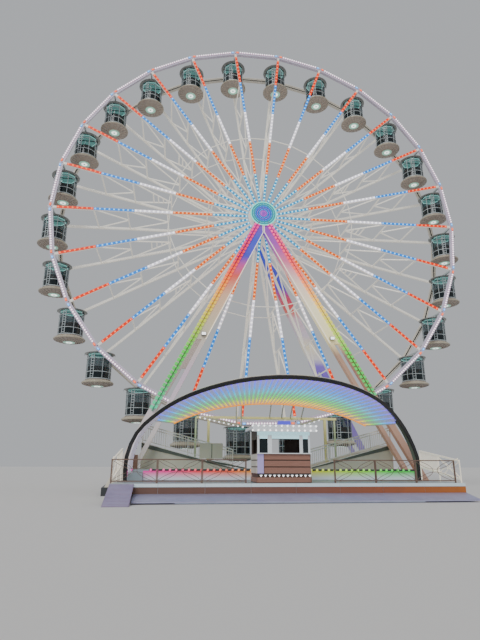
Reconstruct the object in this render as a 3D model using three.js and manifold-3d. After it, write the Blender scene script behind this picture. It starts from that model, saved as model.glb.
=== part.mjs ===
// Ferris wheel of the travelling fairground kind: 26 round cabins hang between two rims, on
// lattice spokes, and the wheel turns on a fixed axle held by four legs. In front stand a
// stepped deck with fences, a ticket booth and an arched canopy over the loading platform.
// Millimetres, +Z up, +Y away from the visitors, wheel axis along Y.
// The origin is on the ground under the middle of the axle.
import * as THREE from 'three';
import { mergeVertices } from 'three/addons/utils/BufferGeometryUtils.js';
import Module from 'manifold-3d';

const wasm = await Module();
wasm.setup();

// Clearances
const SEAT = 0.3; // between pieces that touch
const PIN_CLEARANCE = 0.3; // between a pin's corner and the flat of its hole

// The wheel
const SPOKES = 26;
const STEP = (2 * Math.PI) / SPOKES;
const FIRST_SPOKE = THREE.MathUtils.degToRad(98.01); // as the wheel stood
const RIM_INNER = 13850; // to the corners of a rim's inner edge
const RIM_OUTER = 14130;
const PIN_CIRCLE = 13930; // radius on which the cabins hang
const HUB_HEIGHT = 17830;
const RIM_PLANE = 1320; // from the middle plane to each rim
const RIM_THICK = 120;
const CHORD = 150; // spoke chord, square
const RUNG = 80;
const RUNG_RADII = [3750, 6400, 9100, 11270];
const TIE_BAR = 50;
const TIE_INNER = 6450; // a tie ring lies just outside the second rung of each spoke
const FLANGE_RADIUS = 900;
const BARREL_RADIUS = 500;
const BARREL_END = RIM_PLANE + CHORD / 2;

// The fixed axle and its end blocks
const AXLE_RADIUS = 200;
const AXLE_SIDES = 48;
const BLOCK_FRONT = 1780; // outer face of each end block
const BLOCK_BACK = 1420; // face towards the wheel
const BLOCK_HALF = 560;
const BLOCK_LOW = HUB_HEIGHT - 480;
const BLOCK_HIGH = HUB_HEIGHT + 480;
const LIGHT_RADIUS = 900;
const LIGHT_THICK = 60;
const LIGHT_STANDOFF = 100; // so that it clears the leaning legs
const LIGHT_BOSS_HALF = 300;

// The cabins, measured from their pin
const CABIN_SIDES = 10;
const PIN_RADIUS = 35;
const PIN_HALF = RIM_PLANE + RIM_THICK / 2 - 20;
const CABIN_RADIUS = 765;
const CABIN_WALL = 30;
const SKIRT_RADIUS = 985;
const BASE_RADIUS = 420;
const CABIN_BOTTOM = -2290;
const SKIRT_LOW = -2140;
const SKIRT_HIGH = -2010;
const FLOOR_TOP = -1930;
const CEILING = -280;
const BRIM_LOW = -260;
const BRIM_HIGH = -220;
const CROWN_HIGH = -130;
const DOORWAY = { half: 200, from: -900, to: -600, top: -410 };
const HANGER = { y: 480, width: 180, thick: 60 };

// Legs and ground beams
const BEAM_TOP = 400;
const BEAM_REACH = 4800;
const BEAM_FRONT = { inner: 7600, outer: 8900 }; // the beams stand further apart at the rear
const BEAM_REAR = { inner: 8250, outer: 9600 };
const CROSS_HALF = 400;
const LEG_LOW = BEAM_TOP + SEAT;
const LEG_HIGH = BLOCK_LOW - SEAT;
const LEG_TOP = { near: 15, far: 470 };
const LEG_FOOT = { inner: 4100, outer: 4450 };
// The near side of a leg is upright above its crotch. Below its fork it parts into two chords.
const FRONT_LEG = { near: 7690, far: 8800, crotch: 16400, fork: 8600 };
const REAR_LEG = { near: 8300, far: 9500, crotch: 17000, fork: 8000 };
const FORK_LOW = 1300;
const LEG_CHORDS = { near: 260, far: 400 }; // widths of those two chords
const WHOLE_LEG = { near: 0, far: 0 };

// Decks
const DECK_LEFT = -8000;
const DECK_RIGHT = 7820;
const DECK_FRONT = -9200;
const DECK_TOP = 740;
const DECK_SLAB = 140;
const FASCIA_LOW = 330;
const UPPER_FRONT = -4900;
const UPPER_HALF = 7850;
const UPPER_BACK = 4100;
const UPPER_TOP = 1270;
const UPPER_SLAB = 150;
const STEPS = { left: -7600, right: -6900 };
const LEG_NOTCH = { x: 7150, from: -4650, to: -3450 }; // in the upper deck, round each front leg
const SKIN = 60;
const APRON_FRONT = -10300;
const APRON_THICK = 50;
const APRON_LOW = 50; // underside at its front edge
const KERB = { half: 5300, from: -10180, to: -10060, top: 100 }; // carries the apron
const RAMP_LEFT = -8000;
const RAMP_RIGHT = -7000;
const RAMP_FOOT = -11300;
const RAMP_FLAT = 180; // its foot lies on the ground over this length
const RAMP_EDGE = 15;
const RAMP_THICK = 60;
const LOADING_FRONT = -3300;
const LOADING_BACK = -1080;
const LOADING_LOW_X = 2100;
const LOADING_HIGH_X = 7150;
const LOADING_LOW_Z = 1320;
const LOADING_HIGH_Z = 2640;

// Fences
const RAIL = 45;
const FENCE_HEIGHT = 1000;
const FENCE_GAP = 80; // under the bottom rail
const FENCE_BAY = 1900;
const FENCE_BAYS = 3;
const FENCE_LEFT = -7970; // first post of the left fence
const FENCE_RIGHT = 1700; // and of the right one
const SIDE_INSET = 60; // from a side rail to the end of the deck
const SIDE_RAIL = { from: -9000, to: -5300, low: 130 };
const LOADING_RAIL = { inset: 60, setback: 50, low: 160, bays: 4 };

// Booth
const BOOTH = { left: -1720, right: 700, front: -8850, back: -7150 };
const BOOTH_WALL = 60;
const BOOTH_TOP = 3050;
const BOOTH_EAVES = 250;
const COUNTER_TOP = 2010;
const COUNTER_WINDOW = { left: -1060, right: 210 };
const LEFT_WINDOW = { left: -1630, right: -1240 };
const RIGHT_WINDOW = { left: 350, right: 610 };
const SIDE_WINDOW = { from: -8650, to: -7450 };
const WINDOW_TOP = 2620;
const SIDE_WINDOW_TOP = 2800;
const BOOTH_DOOR = { left: -900, right: -100, top: 2800 };
const ROOF_THICK = 130;

// Canopy
const ARCH_SECTION = 180;
const ARCH_STEPS = 36;
const ARCH_HALF_POINTS = [
  // x, y, z of the middle of the arch, from below its foot to near its crown
  [7740, -5040, 600],
  [7760, -5000, 1800],
  [7340, -5050, 3000],
  [6380, -5880, 3900],
  [4890, -7100, 4700],
  [2530, -8300, 5310],
];
const ARCH_CROWN = [0, -8700, 5500];
const MEMBRANE_SPAN = 6700;
const MEMBRANE_THICK = 40;
const MEMBRANE_BAYS = 16;
const MEMBRANE_APEX = [0, 4700, 3700]; // its ribs run towards this point
const MEMBRANE_REAR = -3690;
const PORTAL_X = 3460;
const PORTAL_Y = -2370;
const PORTAL_TOP = 4200;
const PORTAL_BAR = 140;
const PORTAL_OVERHANG = 700;

const PAINT = {
  white: [0xd9dad6, 0.45, 0.3],
  grey: [0x9a9d9e, 0.5, 0.4],
  steel: [0x6f7477, 0.4, 0.7],
  rim: [0xe6e2ea, 0.4, 0.3],
  cabin: [0x8f9488, 0.4, 0.3],
  deck: [0xa9b4b8, 0.35, 0.6],
  cream: [0xcfcbb0, 0.6, 0.1],
  black: [0x16181a, 0.5, 0.2],
  membrane: [0xc9c2d8, 0.7, 0.0],
  brown: [0x7a5848, 0.6, 0.0],
  light: [0x63d9d2, 0.3, 0.1],
};

function toSolid(geometry) {
  const bare = geometry.clone();
  bare.deleteAttribute('normal');
  bare.deleteAttribute('uv');
  const merged = mergeVertices(bare, 1e-3);
  return new wasm.Manifold(
    new wasm.Mesh({
      numProp: 3,
      vertProperties: new Float32Array(merged.attributes.position.array),
      triVerts: new Uint32Array(merged.index.array),
    })
  );
}

function toGeometry(solid) {
  const mesh = solid.getMesh();
  const geometry = new THREE.BufferGeometry();
  geometry.setAttribute('position', new THREE.BufferAttribute(mesh.vertProperties, 3));
  geometry.setIndex(new THREE.BufferAttribute(mesh.triVerts, 1));
  return geometry;
}

function join(geometries) {
  const solids = geometries.map(toSolid);
  return toGeometry(solids.reduce((whole, piece) => whole.add(piece)));
}

function cut(geometry, cutters) {
  const solids = cutters.map(toSolid);
  return toGeometry(solids.reduce((whole, cutter) => whole.subtract(cutter), toSolid(geometry)));
}

function box(x0, x1, y0, y1, z0, z1) {
  const geometry = new THREE.BoxGeometry(x1 - x0, y1 - y0, z1 - z0);
  geometry.translate((x0 + x1) / 2, (y0 + y1) / 2, (z0 + z1) / 2);
  return geometry;
}

// A square post of 150 mm.
function post(x, y, low, high) {
  return box(x - 75, x + 75, y - 75, y + 75, low, high);
}

// A bar of rectangular section between two points of one plane that is upright and along X.
function barXZ(from, to, y, width, depth) {
  const dx = to[0] - from[0];
  const dz = to[1] - from[1];
  const geometry = new THREE.BoxGeometry(Math.hypot(dx, dz), depth, width);
  geometry.rotateY(-Math.atan2(dz, dx));
  geometry.translate((from[0] + to[0]) / 2, y, (from[1] + to[1]) / 2);
  return geometry;
}

// The same in an upright plane along Y.
function barYZ(from, to, x, width, depth) {
  const dy = to[0] - from[0];
  const dz = to[1] - from[1];
  const geometry = new THREE.BoxGeometry(depth, Math.hypot(dy, dz), width);
  geometry.rotateX(Math.atan2(dz, dy));
  geometry.translate(x, (from[0] + to[0]) / 2, (from[1] + to[1]) / 2);
  return geometry;
}

// An outline in X and Z, given depth from y0 back to y1.
function slabXZ(points, y0, y1) {
  const shape = new THREE.Shape(points.map(([x, z]) => new THREE.Vector2(x, z)));
  const geometry = new THREE.ExtrudeGeometry(shape, { depth: y1 - y0, bevelEnabled: false });
  geometry.rotateX(Math.PI / 2);
  geometry.translate(0, y1, 0);
  return geometry;
}

// An outline in Y and Z, given width from x0 to x1.
function slabYZ(points, x0, x1) {
  const shape = new THREE.Shape(points.map(([y, z]) => new THREE.Vector2(y, z)));
  const geometry = new THREE.ExtrudeGeometry(shape, { depth: x1 - x0, bevelEnabled: false });
  geometry.rotateX(Math.PI / 2);
  geometry.rotateZ(Math.PI / 2);
  geometry.translate(x0, 0, 0);
  return geometry;
}

// A closed ring round the wheel's axis, with one corner at each spoke.
function ring(inner, outer, y0, y1) {
  const profile = [
    [inner, y0],
    [outer, y0],
    [outer, y1],
    [inner, y1],
    [inner, y0],
  ].map(([r, y]) => new THREE.Vector2(r, y));
  return new THREE.LatheGeometry(profile, SPOKES, Math.PI / 2 - FIRST_SPOKE);
}

// A solid with one four-cornered outline at each level, from the lowest up. Every outline is
// counterclockwise seen from above.
function tower(levels) {
  const corners = levels.flat();
  const top = corners.length - 4;
  const faces = [
    [3, 2, 1, 0],
    [top, top + 1, top + 2, top + 3],
  ];
  for (let low = 0; low < top; low += 4) {
    for (let index = 0; index < 4; index += 1) {
      const next = (index + 1) % 4;
      faces.push([low + index, low + next, low + next + 4, low + index + 4]);
    }
  }
  const positions = [];
  for (const [a, b, c, d] of faces) {
    for (const corner of [a, b, c, a, c, d]) positions.push(...corners[corner]);
  }
  const geometry = new THREE.BufferGeometry();
  geometry.setAttribute('position', new THREE.Float32BufferAttribute(positions, 3));
  return geometry;
}

function spokeAngle(index) {
  return FIRST_SPOKE + index * STEP;
}

function add(parent, name, geometry, paint) {
  const [color, roughness, metalness] = PAINT[paint];
  const mesh = new THREE.Mesh(geometry, new THREE.MeshStandardMaterial({ color, roughness, metalness }));
  mesh.name = name;
  parent.add(mesh);
  return mesh;
}

// One spoke is a flat ladder that stands across the wheel: a chord in each rim's plane and
// rungs between them. It is drawn along +X and then turned to its angle.
function spoke(angle) {
  const end = RIM_INNER - (CHORD / 2) * Math.tan(STEP / 2) - SEAT;
  const start = FLANGE_RADIUS - CHORD;
  const half = CHORD / 2;
  const pieces = [
    box(start, end, -RIM_PLANE - half, -RIM_PLANE + half, -half, half),
    box(start, end, RIM_PLANE - half, RIM_PLANE + half, -half, half),
  ];
  for (const radius of RUNG_RADII) {
    pieces.push(box(radius - RUNG / 2, radius + RUNG / 2, -RIM_PLANE, RIM_PLANE, -RUNG / 2, RUNG / 2));
  }
  for (const piece of pieces) piece.rotateY(-angle);
  return pieces;
}

// A fan of neighbouring spokes on its own half of the two hub flanges.
function spokeFan(first, count) {
  const slack = THREE.MathUtils.degToRad(0.02);
  const inner = BARREL_RADIUS + SEAT;
  const from = spokeAngle(first) - STEP / 2 + slack;
  const to = spokeAngle(first + count - 1) + STEP / 2 - slack;
  const at = (radius, angle) => [radius * Math.cos(angle), radius * Math.sin(angle)];
  const corners = Array.from({ length: count }, (_, index) => spokeAngle(first + index));
  // Between two corners the edge of the ring is straight, so its ends lie on that edge.
  const edge = (radius) => radius * Math.cos(STEP / 2);
  const outline = [
    at(edge(inner), from),
    at(edge(FLANGE_RADIUS), from),
    ...corners.map((angle) => at(FLANGE_RADIUS, angle)),
    at(edge(FLANGE_RADIUS), to),
    at(edge(inner), to),
    ...corners.map((angle) => at(inner, angle)).reverse(),
  ];
  const half = CHORD / 2;
  const pieces = [
    slabXZ(outline, -RIM_PLANE - half, -RIM_PLANE + half),
    slabXZ(outline, RIM_PLANE - half, RIM_PLANE + half),
  ];
  for (const angle of corners) pieces.push(...spoke(angle));
  return join(pieces);
}

// A rim with a square hole at each corner, level at rest, in which a cabin's pin turns.
function rim(middle) {
  const front = middle - RIM_THICK / 2;
  const back = middle + RIM_THICK / 2;
  const band = ring(RIM_INNER, RIM_OUTER, front, back);
  const half = PIN_RADIUS + PIN_CLEARANCE;
  const holes = Array.from({ length: SPOKES }, (_, index) => {
    const x = PIN_CIRCLE * Math.cos(spokeAngle(index));
    const z = PIN_CIRCLE * Math.sin(spokeAngle(index));
    return box(x - half, x + half, front - 10, back + 10, z - half, z + half);
  });
  return cut(band, holes);
}

function turned(profile, sides) {
  const points = profile.map(([r, z]) => new THREE.Vector2(r, z));
  const geometry = new THREE.LatheGeometry(points, sides, Math.PI / sides);
  geometry.rotateX(Math.PI / 2);
  return geometry;
}

// A cabin: flared skirt, round wall with a door opening to the front, brimmed roof, and the
// pin across its top that turns in the two rims.
function cabin() {
  const body = turned(
    [
      [0, CABIN_BOTTOM],
      [BASE_RADIUS, CABIN_BOTTOM],
      [SKIRT_RADIUS, SKIRT_LOW],
      [SKIRT_RADIUS, SKIRT_HIGH],
      [CABIN_RADIUS, FLOOR_TOP - CABIN_WALL],
      [CABIN_RADIUS, BRIM_LOW],
      [SKIRT_RADIUS, BRIM_LOW],
      [SKIRT_RADIUS, BRIM_HIGH],
      [CABIN_RADIUS, CROWN_HIGH],
      [0, CROWN_HIGH],
    ],
    CABIN_SIDES
  );
  const room = turned(
    [
      [0, FLOOR_TOP],
      [CABIN_RADIUS - CABIN_WALL, FLOOR_TOP],
      [CABIN_RADIUS - CABIN_WALL, CEILING],
      [0, CEILING],
    ],
    CABIN_SIDES
  );
  const doorway = box(-DOORWAY.half, DOORWAY.half, DOORWAY.from, DOORWAY.to, FLOOR_TOP, DOORWAY.top);
  const pin = new THREE.CylinderGeometry(PIN_RADIUS, PIN_RADIUS, 2 * PIN_HALF, 8);
  const hangers = [-HANGER.y, HANGER.y].map((y) =>
    box(-HANGER.width / 2, HANGER.width / 2, y - HANGER.thick / 2, y + HANGER.thick / 2, CROWN_HIGH - 30, 0)
  );
  return join([cut(body, [room, doorway]), pin, ...hangers]);
}

function buildWheel() {
  const wheel = new THREE.Group();
  wheel.position.z = HUB_HEIGHT;
  const bore = (AXLE_RADIUS + PIN_CLEARANCE) / Math.cos(STEP / 2);
  add(wheel, 'hub_barrel', ring(bore, BARREL_RADIUS, -BARREL_END, BARREL_END), 'steel');
  const half = SPOKES / 2;
  add(wheel, 'spoke_fan_left', spokeFan(0, half), 'white');
  add(wheel, 'spoke_fan_right', spokeFan(half, half), 'white');
  add(wheel, 'front_rim', rim(-RIM_PLANE), 'rim');
  add(wheel, 'rear_rim', rim(RIM_PLANE), 'grey');
  const seat = RIM_PLANE - CHORD / 2 - SEAT;
  const tieOuter = TIE_INNER + TIE_BAR;
  add(wheel, 'front_tie_ring', ring(TIE_INNER, tieOuter, -seat, -seat + TIE_BAR), 'white');
  add(wheel, 'rear_tie_ring', ring(TIE_INNER, tieOuter, seat - TIE_BAR, seat), 'white');
  const shape = cabin();
  for (let index = 0; index < SPOKES; index += 1) {
    const name = `cabin_${String(index + 1).padStart(2, '0')}`;
    const mesh = add(wheel, name, shape.clone(), 'cabin');
    mesh.position.set(PIN_CIRCLE * Math.cos(spokeAngle(index)), 0, PIN_CIRCLE * Math.sin(spokeAngle(index)));
  }
  return wheel;
}

function buildAxle(base) {
  const shaft = new THREE.CylinderGeometry(AXLE_RADIUS, AXLE_RADIUS, 2 * BLOCK_BACK + 20, AXLE_SIDES);
  shaft.translate(0, 0, HUB_HEIGHT);
  const blocks = [-1, 1].map((side) => {
    const ends = [side * BLOCK_BACK, side * BLOCK_FRONT].sort((a, b) => a - b);
    return box(-BLOCK_HALF, BLOCK_HALF, ...ends, BLOCK_LOW, BLOCK_HIGH);
  });
  add(base, 'main_axle', join([shaft, ...blocks]), 'steel');
  const disc = new THREE.CylinderGeometry(LIGHT_RADIUS, LIGHT_RADIUS, LIGHT_THICK, SPOKES);
  disc.translate(0, -BLOCK_FRONT - LIGHT_STANDOFF - LIGHT_THICK / 2, HUB_HEIGHT);
  const bossFront = -BLOCK_FRONT - LIGHT_STANDOFF - 10;
  const half = LIGHT_BOSS_HALF;
  const boss = box(-half, half, bossFront, -BLOCK_FRONT - SEAT, HUB_HEIGHT - half, HUB_HEIGHT + half);
  add(base, 'hub_light', join([disc, boss]), 'light');
}

// The corners of a leg at one level, inset from its near and far sides in X and spread beyond
// it in Y.
function legCorners(side, end, z, insets, spread) {
  const shape = end < 0 ? FRONT_LEG : REAR_LEG;
  const between = (top, foot, high) => {
    const share = Math.max(0, (high - z) / (high - LEG_LOW));
    return top + (foot - top) * share;
  };
  const near = between(LEG_TOP.near, shape.near, shape.crotch) + insets.near;
  const far = between(LEG_TOP.far, shape.far, LEG_HIGH) - insets.far;
  const inner = between(BLOCK_BACK, LEG_FOOT.inner, LEG_HIGH) - spread;
  const outer = between(BLOCK_FRONT, LEG_FOOT.outer, LEG_HIGH) + spread;
  const xs = [side * near, side * far].sort((a, b) => a - b);
  const ys = [end * inner, end * outer].sort((a, b) => a - b);
  return [
    [xs[0], ys[0], z],
    [xs[1], ys[0], z],
    [xs[1], ys[1], z],
    [xs[0], ys[1], z],
  ];
}

// A leg from a ground beam to the underside of an end block.
function leg(side, end) {
  const { crotch, fork } = end < 0 ? FRONT_LEG : REAR_LEG;
  const whole = tower([LEG_LOW, crotch, LEG_HIGH].map((z) => legCorners(side, end, z, WHOLE_LEG, 0)));
  const opening = tower([FORK_LOW, fork].map((z) => legCorners(side, end, z, LEG_CHORDS, 50)));
  return cut(whole, [opening]);
}

// A beam on the ground, its outline counterclockwise seen from above.
function groundBeam(outline) {
  return tower([0, BEAM_TOP].map((z) => outline.map(([x, y]) => [x, y, z])));
}

function buildLegs(base) {
  add(base, 'leg_front_left', leg(-1, -1), 'white');
  add(base, 'leg_front_right', leg(1, -1), 'white');
  add(base, 'leg_rear_left', leg(-1, 1), 'white');
  add(base, 'leg_rear_right', leg(1, 1), 'white');
  const outline = [
    [BEAM_FRONT.inner, -BEAM_REACH],
    [BEAM_FRONT.outer, -BEAM_REACH],
    [BEAM_REAR.outer, BEAM_REACH],
    [BEAM_REAR.inner, BEAM_REACH],
  ];
  const mirrored = outline.map(([x, y]) => [-x, y]).reverse();
  add(base, 'ground_beam_left', groundBeam(mirrored), 'grey');
  add(base, 'ground_beam_right', groundBeam(outline), 'grey');
  const spread = (BEAM_REAR.inner - BEAM_FRONT.inner) / (2 * BEAM_REACH);
  const reach = (y) => BEAM_FRONT.inner + (y + BEAM_REACH) * spread - SEAT;
  const cross = [
    [-reach(-CROSS_HALF), -CROSS_HALF],
    [reach(-CROSS_HALF), -CROSS_HALF],
    [reach(CROSS_HALF), CROSS_HALF],
    [-reach(CROSS_HALF), CROSS_HALF],
  ];
  add(base, 'ground_beam_cross', groundBeam(cross), 'grey');
}

// A slab with a skirt along its edges, on posts.
function buildFrontDeck(base) {
  const back = UPPER_FRONT - SEAT;
  const posts = [];
  for (const x of [DECK_LEFT + 300, -2600, 2600, DECK_RIGHT - 300]) {
    for (const y of [DECK_FRONT + 300, back - 300]) posts.push(post(x, y, 0, DECK_TOP - 20));
  }
  const skirt = (x0, x1, y1) => box(x0, x1, DECK_FRONT, y1, FASCIA_LOW, DECK_TOP - 20);
  const pieces = [
    box(DECK_LEFT, DECK_RIGHT, DECK_FRONT, back, DECK_TOP - DECK_SLAB, DECK_TOP),
    skirt(DECK_LEFT, DECK_RIGHT, DECK_FRONT + SKIN),
    skirt(DECK_LEFT, DECK_LEFT + SKIN, back),
    skirt(DECK_RIGHT - SKIN, DECK_RIGHT, back),
  ];
  add(base, 'front_deck', join([...pieces, ...posts]), 'deck');
}

// The slab under the wheel, notched round the front legs, with a riser and two steps in front.
function buildUpperDeck(base) {
  const skirt = (x0, x1, y0, y1, low) => box(x0, x1, y0, y1, low, UPPER_TOP - 20);
  const props = [-5000, 0, 5000].map((x) => post(x, 0, BEAM_TOP + SEAT, UPPER_TOP - 20));
  const step = (tread, height) =>
    box(STEPS.left, STEPS.right, UPPER_FRONT - tread, UPPER_FRONT + 20, DECK_TOP + SEAT, DECK_TOP + height);
  const whole = join([
    box(-UPPER_HALF, UPPER_HALF, UPPER_FRONT, UPPER_BACK, UPPER_TOP - UPPER_SLAB, UPPER_TOP),
    skirt(-UPPER_HALF, UPPER_HALF, UPPER_FRONT, UPPER_FRONT + SKIN, 0),
    skirt(-UPPER_HALF, UPPER_HALF, UPPER_BACK - SKIN, UPPER_BACK, 0),
    skirt(-UPPER_HALF, -UPPER_HALF + SKIN, UPPER_FRONT, UPPER_BACK, BEAM_TOP + 30),
    skirt(UPPER_HALF - SKIN, UPPER_HALF, UPPER_FRONT, UPPER_BACK, BEAM_TOP + 30),
    ...props,
    step(600, 180),
    step(300, 360),
  ]);
  const notches = [-1, 1].map((side) => {
    const xs = [side * LEG_NOTCH.x, side * (UPPER_HALF + 50)].sort((a, b) => a - b);
    return box(...xs, LEG_NOTCH.from, LEG_NOTCH.to, -50, UPPER_TOP + 50);
  });
  add(base, 'upper_deck', cut(whole, notches), 'deck');
}

function buildDecks(base) {
  buildFrontDeck(base);
  buildUpperDeck(base);
  const apronBack = DECK_FRONT - SEAT;
  add(
    base,
    'front_apron',
    join([
      slabYZ(
        [
          [APRON_FRONT, APRON_LOW],
          [apronBack, FASCIA_LOW - APRON_THICK],
          [apronBack, FASCIA_LOW],
          [APRON_FRONT, APRON_LOW + APRON_THICK],
        ],
        RAMP_RIGHT + SEAT,
        DECK_RIGHT
      ),
      box(-KERB.half, KERB.half, KERB.from, KERB.to, 0, KERB.top),
    ]),
    'deck'
  );
  add(
    base,
    'entry_ramp',
    slabYZ(
      [
        [RAMP_FOOT, 0],
        [RAMP_FOOT + RAMP_FLAT, 0],
        [apronBack, DECK_TOP - RAMP_THICK],
        [apronBack, DECK_TOP],
        [RAMP_FOOT, RAMP_EDGE],
      ],
      RAMP_LEFT,
      RAMP_RIGHT
    ),
    'deck'
  );
  for (const [name, side] of [
    ['loading_deck_left', -1],
    ['loading_deck_right', 1],
  ]) {
    const outline = [
      [side * LOADING_LOW_X, UPPER_TOP + SEAT],
      [side * LOADING_HIGH_X, UPPER_TOP + SEAT],
      [side * LOADING_HIGH_X, LOADING_HIGH_Z],
      [side * LOADING_LOW_X, LOADING_LOW_Z],
    ];
    add(base, name, slabXZ(outline, LOADING_FRONT, LOADING_BACK), 'cream');
  }
}

// A level fence along X: posts down to the deck, a top and a bottom rail.
function levelFence(start) {
  const y = DECK_FRONT + 60;
  const foot = DECK_TOP + SEAT;
  const top = DECK_TOP + FENCE_HEIGHT;
  const end = start + FENCE_BAYS * FENCE_BAY;
  const half = RAIL / 2;
  const bar = (x0, x1, low, high) => box(x0 - half, x1 + half, y - half, y + half, low, high);
  const gap = foot + FENCE_GAP;
  const pieces = [bar(start, end, top - RAIL, top), bar(start, end, gap, gap + RAIL)];
  for (let bay = 0; bay <= FENCE_BAYS; bay += 1) {
    const x = start + bay * FENCE_BAY;
    pieces.push(bar(x, x, foot, top));
  }
  return join(pieces);
}

// The handrail at each end of the front deck climbs from the deck to the upper deck.
function sideRail(side) {
  const x = side < 0 ? DECK_LEFT + SIDE_INSET : DECK_RIGHT - SIDE_INSET;
  const near = SIDE_RAIL.from;
  const far = SIDE_RAIL.to;
  const low = (y) => DECK_TOP + ((UPPER_TOP - DECK_TOP) * (y - near)) / (far - near);
  const rail = (height) => barYZ([near, low(near) + height], [far, low(far) + height], x, RAIL, RAIL);
  const posts = [near, (near + far) / 2, far].map((y) =>
    box(x - RAIL / 2, x + RAIL / 2, y - RAIL / 2, y + RAIL / 2, DECK_TOP + SEAT, low(y) + FENCE_HEIGHT)
  );
  return join([rail(FENCE_HEIGHT - RAIL / 2), rail(SIDE_RAIL.low), ...posts]);
}

// The railing along the front edge of a sloping loading deck.
function loadingRail(side) {
  const y = LOADING_FRONT + LOADING_RAIL.setback;
  const xs = [LOADING_LOW_X + LOADING_RAIL.inset, LOADING_HIGH_X - LOADING_RAIL.inset];
  const rise = (LOADING_HIGH_Z - LOADING_LOW_Z) / (LOADING_HIGH_X - LOADING_LOW_X);
  const low = (x) => LOADING_LOW_Z + (x - LOADING_LOW_X) * rise;
  const rail = (height) =>
    barXZ([side * xs[0], low(xs[0]) + height], [side * xs[1], low(xs[1]) + height], y, RAIL, RAIL);
  const posts = Array.from({ length: LOADING_RAIL.bays + 1 }, (_, index) => {
    const x = xs[0] + ((xs[1] - xs[0]) * index) / LOADING_RAIL.bays;
    const foot = low(x) + (RAIL / 2) * rise + SEAT;
    const ends = [side * x - RAIL / 2, side * x + RAIL / 2];
    return box(...ends, y - RAIL / 2, y + RAIL / 2, foot, low(x) + FENCE_HEIGHT - 10);
  });
  return join([rail(FENCE_HEIGHT - RAIL / 2), rail(LOADING_RAIL.low), ...posts]);
}

function buildFences(base) {
  add(base, 'front_fence_left', levelFence(FENCE_LEFT), 'brown');
  add(base, 'front_fence_right', levelFence(FENCE_RIGHT), 'brown');
  add(base, 'side_rail_left', sideRail(-1), 'white');
  add(base, 'side_rail_right', sideRail(1), 'white');
  add(base, 'loading_rail_left', loadingRail(-1), 'white');
  add(base, 'loading_rail_right', loadingRail(1), 'white');
}

function buildBooth(base) {
  const { left, right, front, back } = BOOTH;
  const low = DECK_TOP + SEAT;
  const outer = box(left, right, front, back, low, BOOTH_TOP);
  const floor = low + BOOTH_WALL;
  const wall = BOOTH_WALL;
  const room = box(left + wall, right - wall, front + wall, back - wall, floor, BOOTH_TOP + 10);
  const inFront = (x0, x1, top) => box(x0, x1, front - 10, front + wall + 10, COUNTER_TOP, top);
  const atSide = (x0, x1) => box(x0, x1, SIDE_WINDOW.from, SIDE_WINDOW.to, COUNTER_TOP, WINDOW_TOP);
  const openings = [
    room,
    inFront(COUNTER_WINDOW.left, COUNTER_WINDOW.right, WINDOW_TOP),
    inFront(LEFT_WINDOW.left, LEFT_WINDOW.right, SIDE_WINDOW_TOP),
    inFront(RIGHT_WINDOW.left, RIGHT_WINDOW.right, SIDE_WINDOW_TOP),
    atSide(left - 10, left + wall + 10),
    atSide(right - wall - 10, right + 10),
    box(BOOTH_DOOR.left, BOOTH_DOOR.right, back - wall - 10, back + 10, floor, BOOTH_DOOR.top),
  ];
  add(base, 'booth_walls', cut(outer, openings), 'brown');
  const underside = BOOTH_TOP + SEAT;
  const over = BOOTH_EAVES;
  const roof = box(left - over, right + over, front - over, back + over, underside, underside + ROOF_THICK);
  add(base, 'booth_roof', roof, 'white');
}

function archCurve() {
  const left = ARCH_HALF_POINTS.map(([x, y, z]) => new THREE.Vector3(-x, y, z));
  const right = ARCH_HALF_POINTS.map(([x, y, z]) => new THREE.Vector3(x, y, z)).reverse();
  return new THREE.CatmullRomCurve3([...left, new THREE.Vector3(...ARCH_CROWN), ...right]);
}

// A sheet of even thickness between two rows of points, the lower row first.
function sheet(front, back, thick) {
  const count = front.length;
  const raised = (points) => points.map((point) => point.clone().setZ(point.z + thick));
  const rows = [front, back, raised(back), raised(front)];
  const positions = rows.flat().flatMap((point) => [point.x, point.y, point.z]);
  const at = (row, index) => row * count + index;
  const indices = [];
  const quad = (a, b, c, d) => indices.push(a, b, c, a, c, d);
  for (let index = 0; index + 1 < count; index += 1) {
    for (let row = 0; row < 4; row += 1) {
      const next = (row + 1) % 4;
      quad(at(row, index), at(next, index), at(next, index + 1), at(row, index + 1));
    }
  }
  quad(at(0, 0), at(3, 0), at(2, 0), at(1, 0));
  const last = count - 1;
  quad(at(0, last), at(1, last), at(2, last), at(3, last));
  const geometry = new THREE.BufferGeometry();
  geometry.setAttribute('position', new THREE.Float32BufferAttribute(positions, 3));
  geometry.setIndex(indices);
  return geometry;
}

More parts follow.
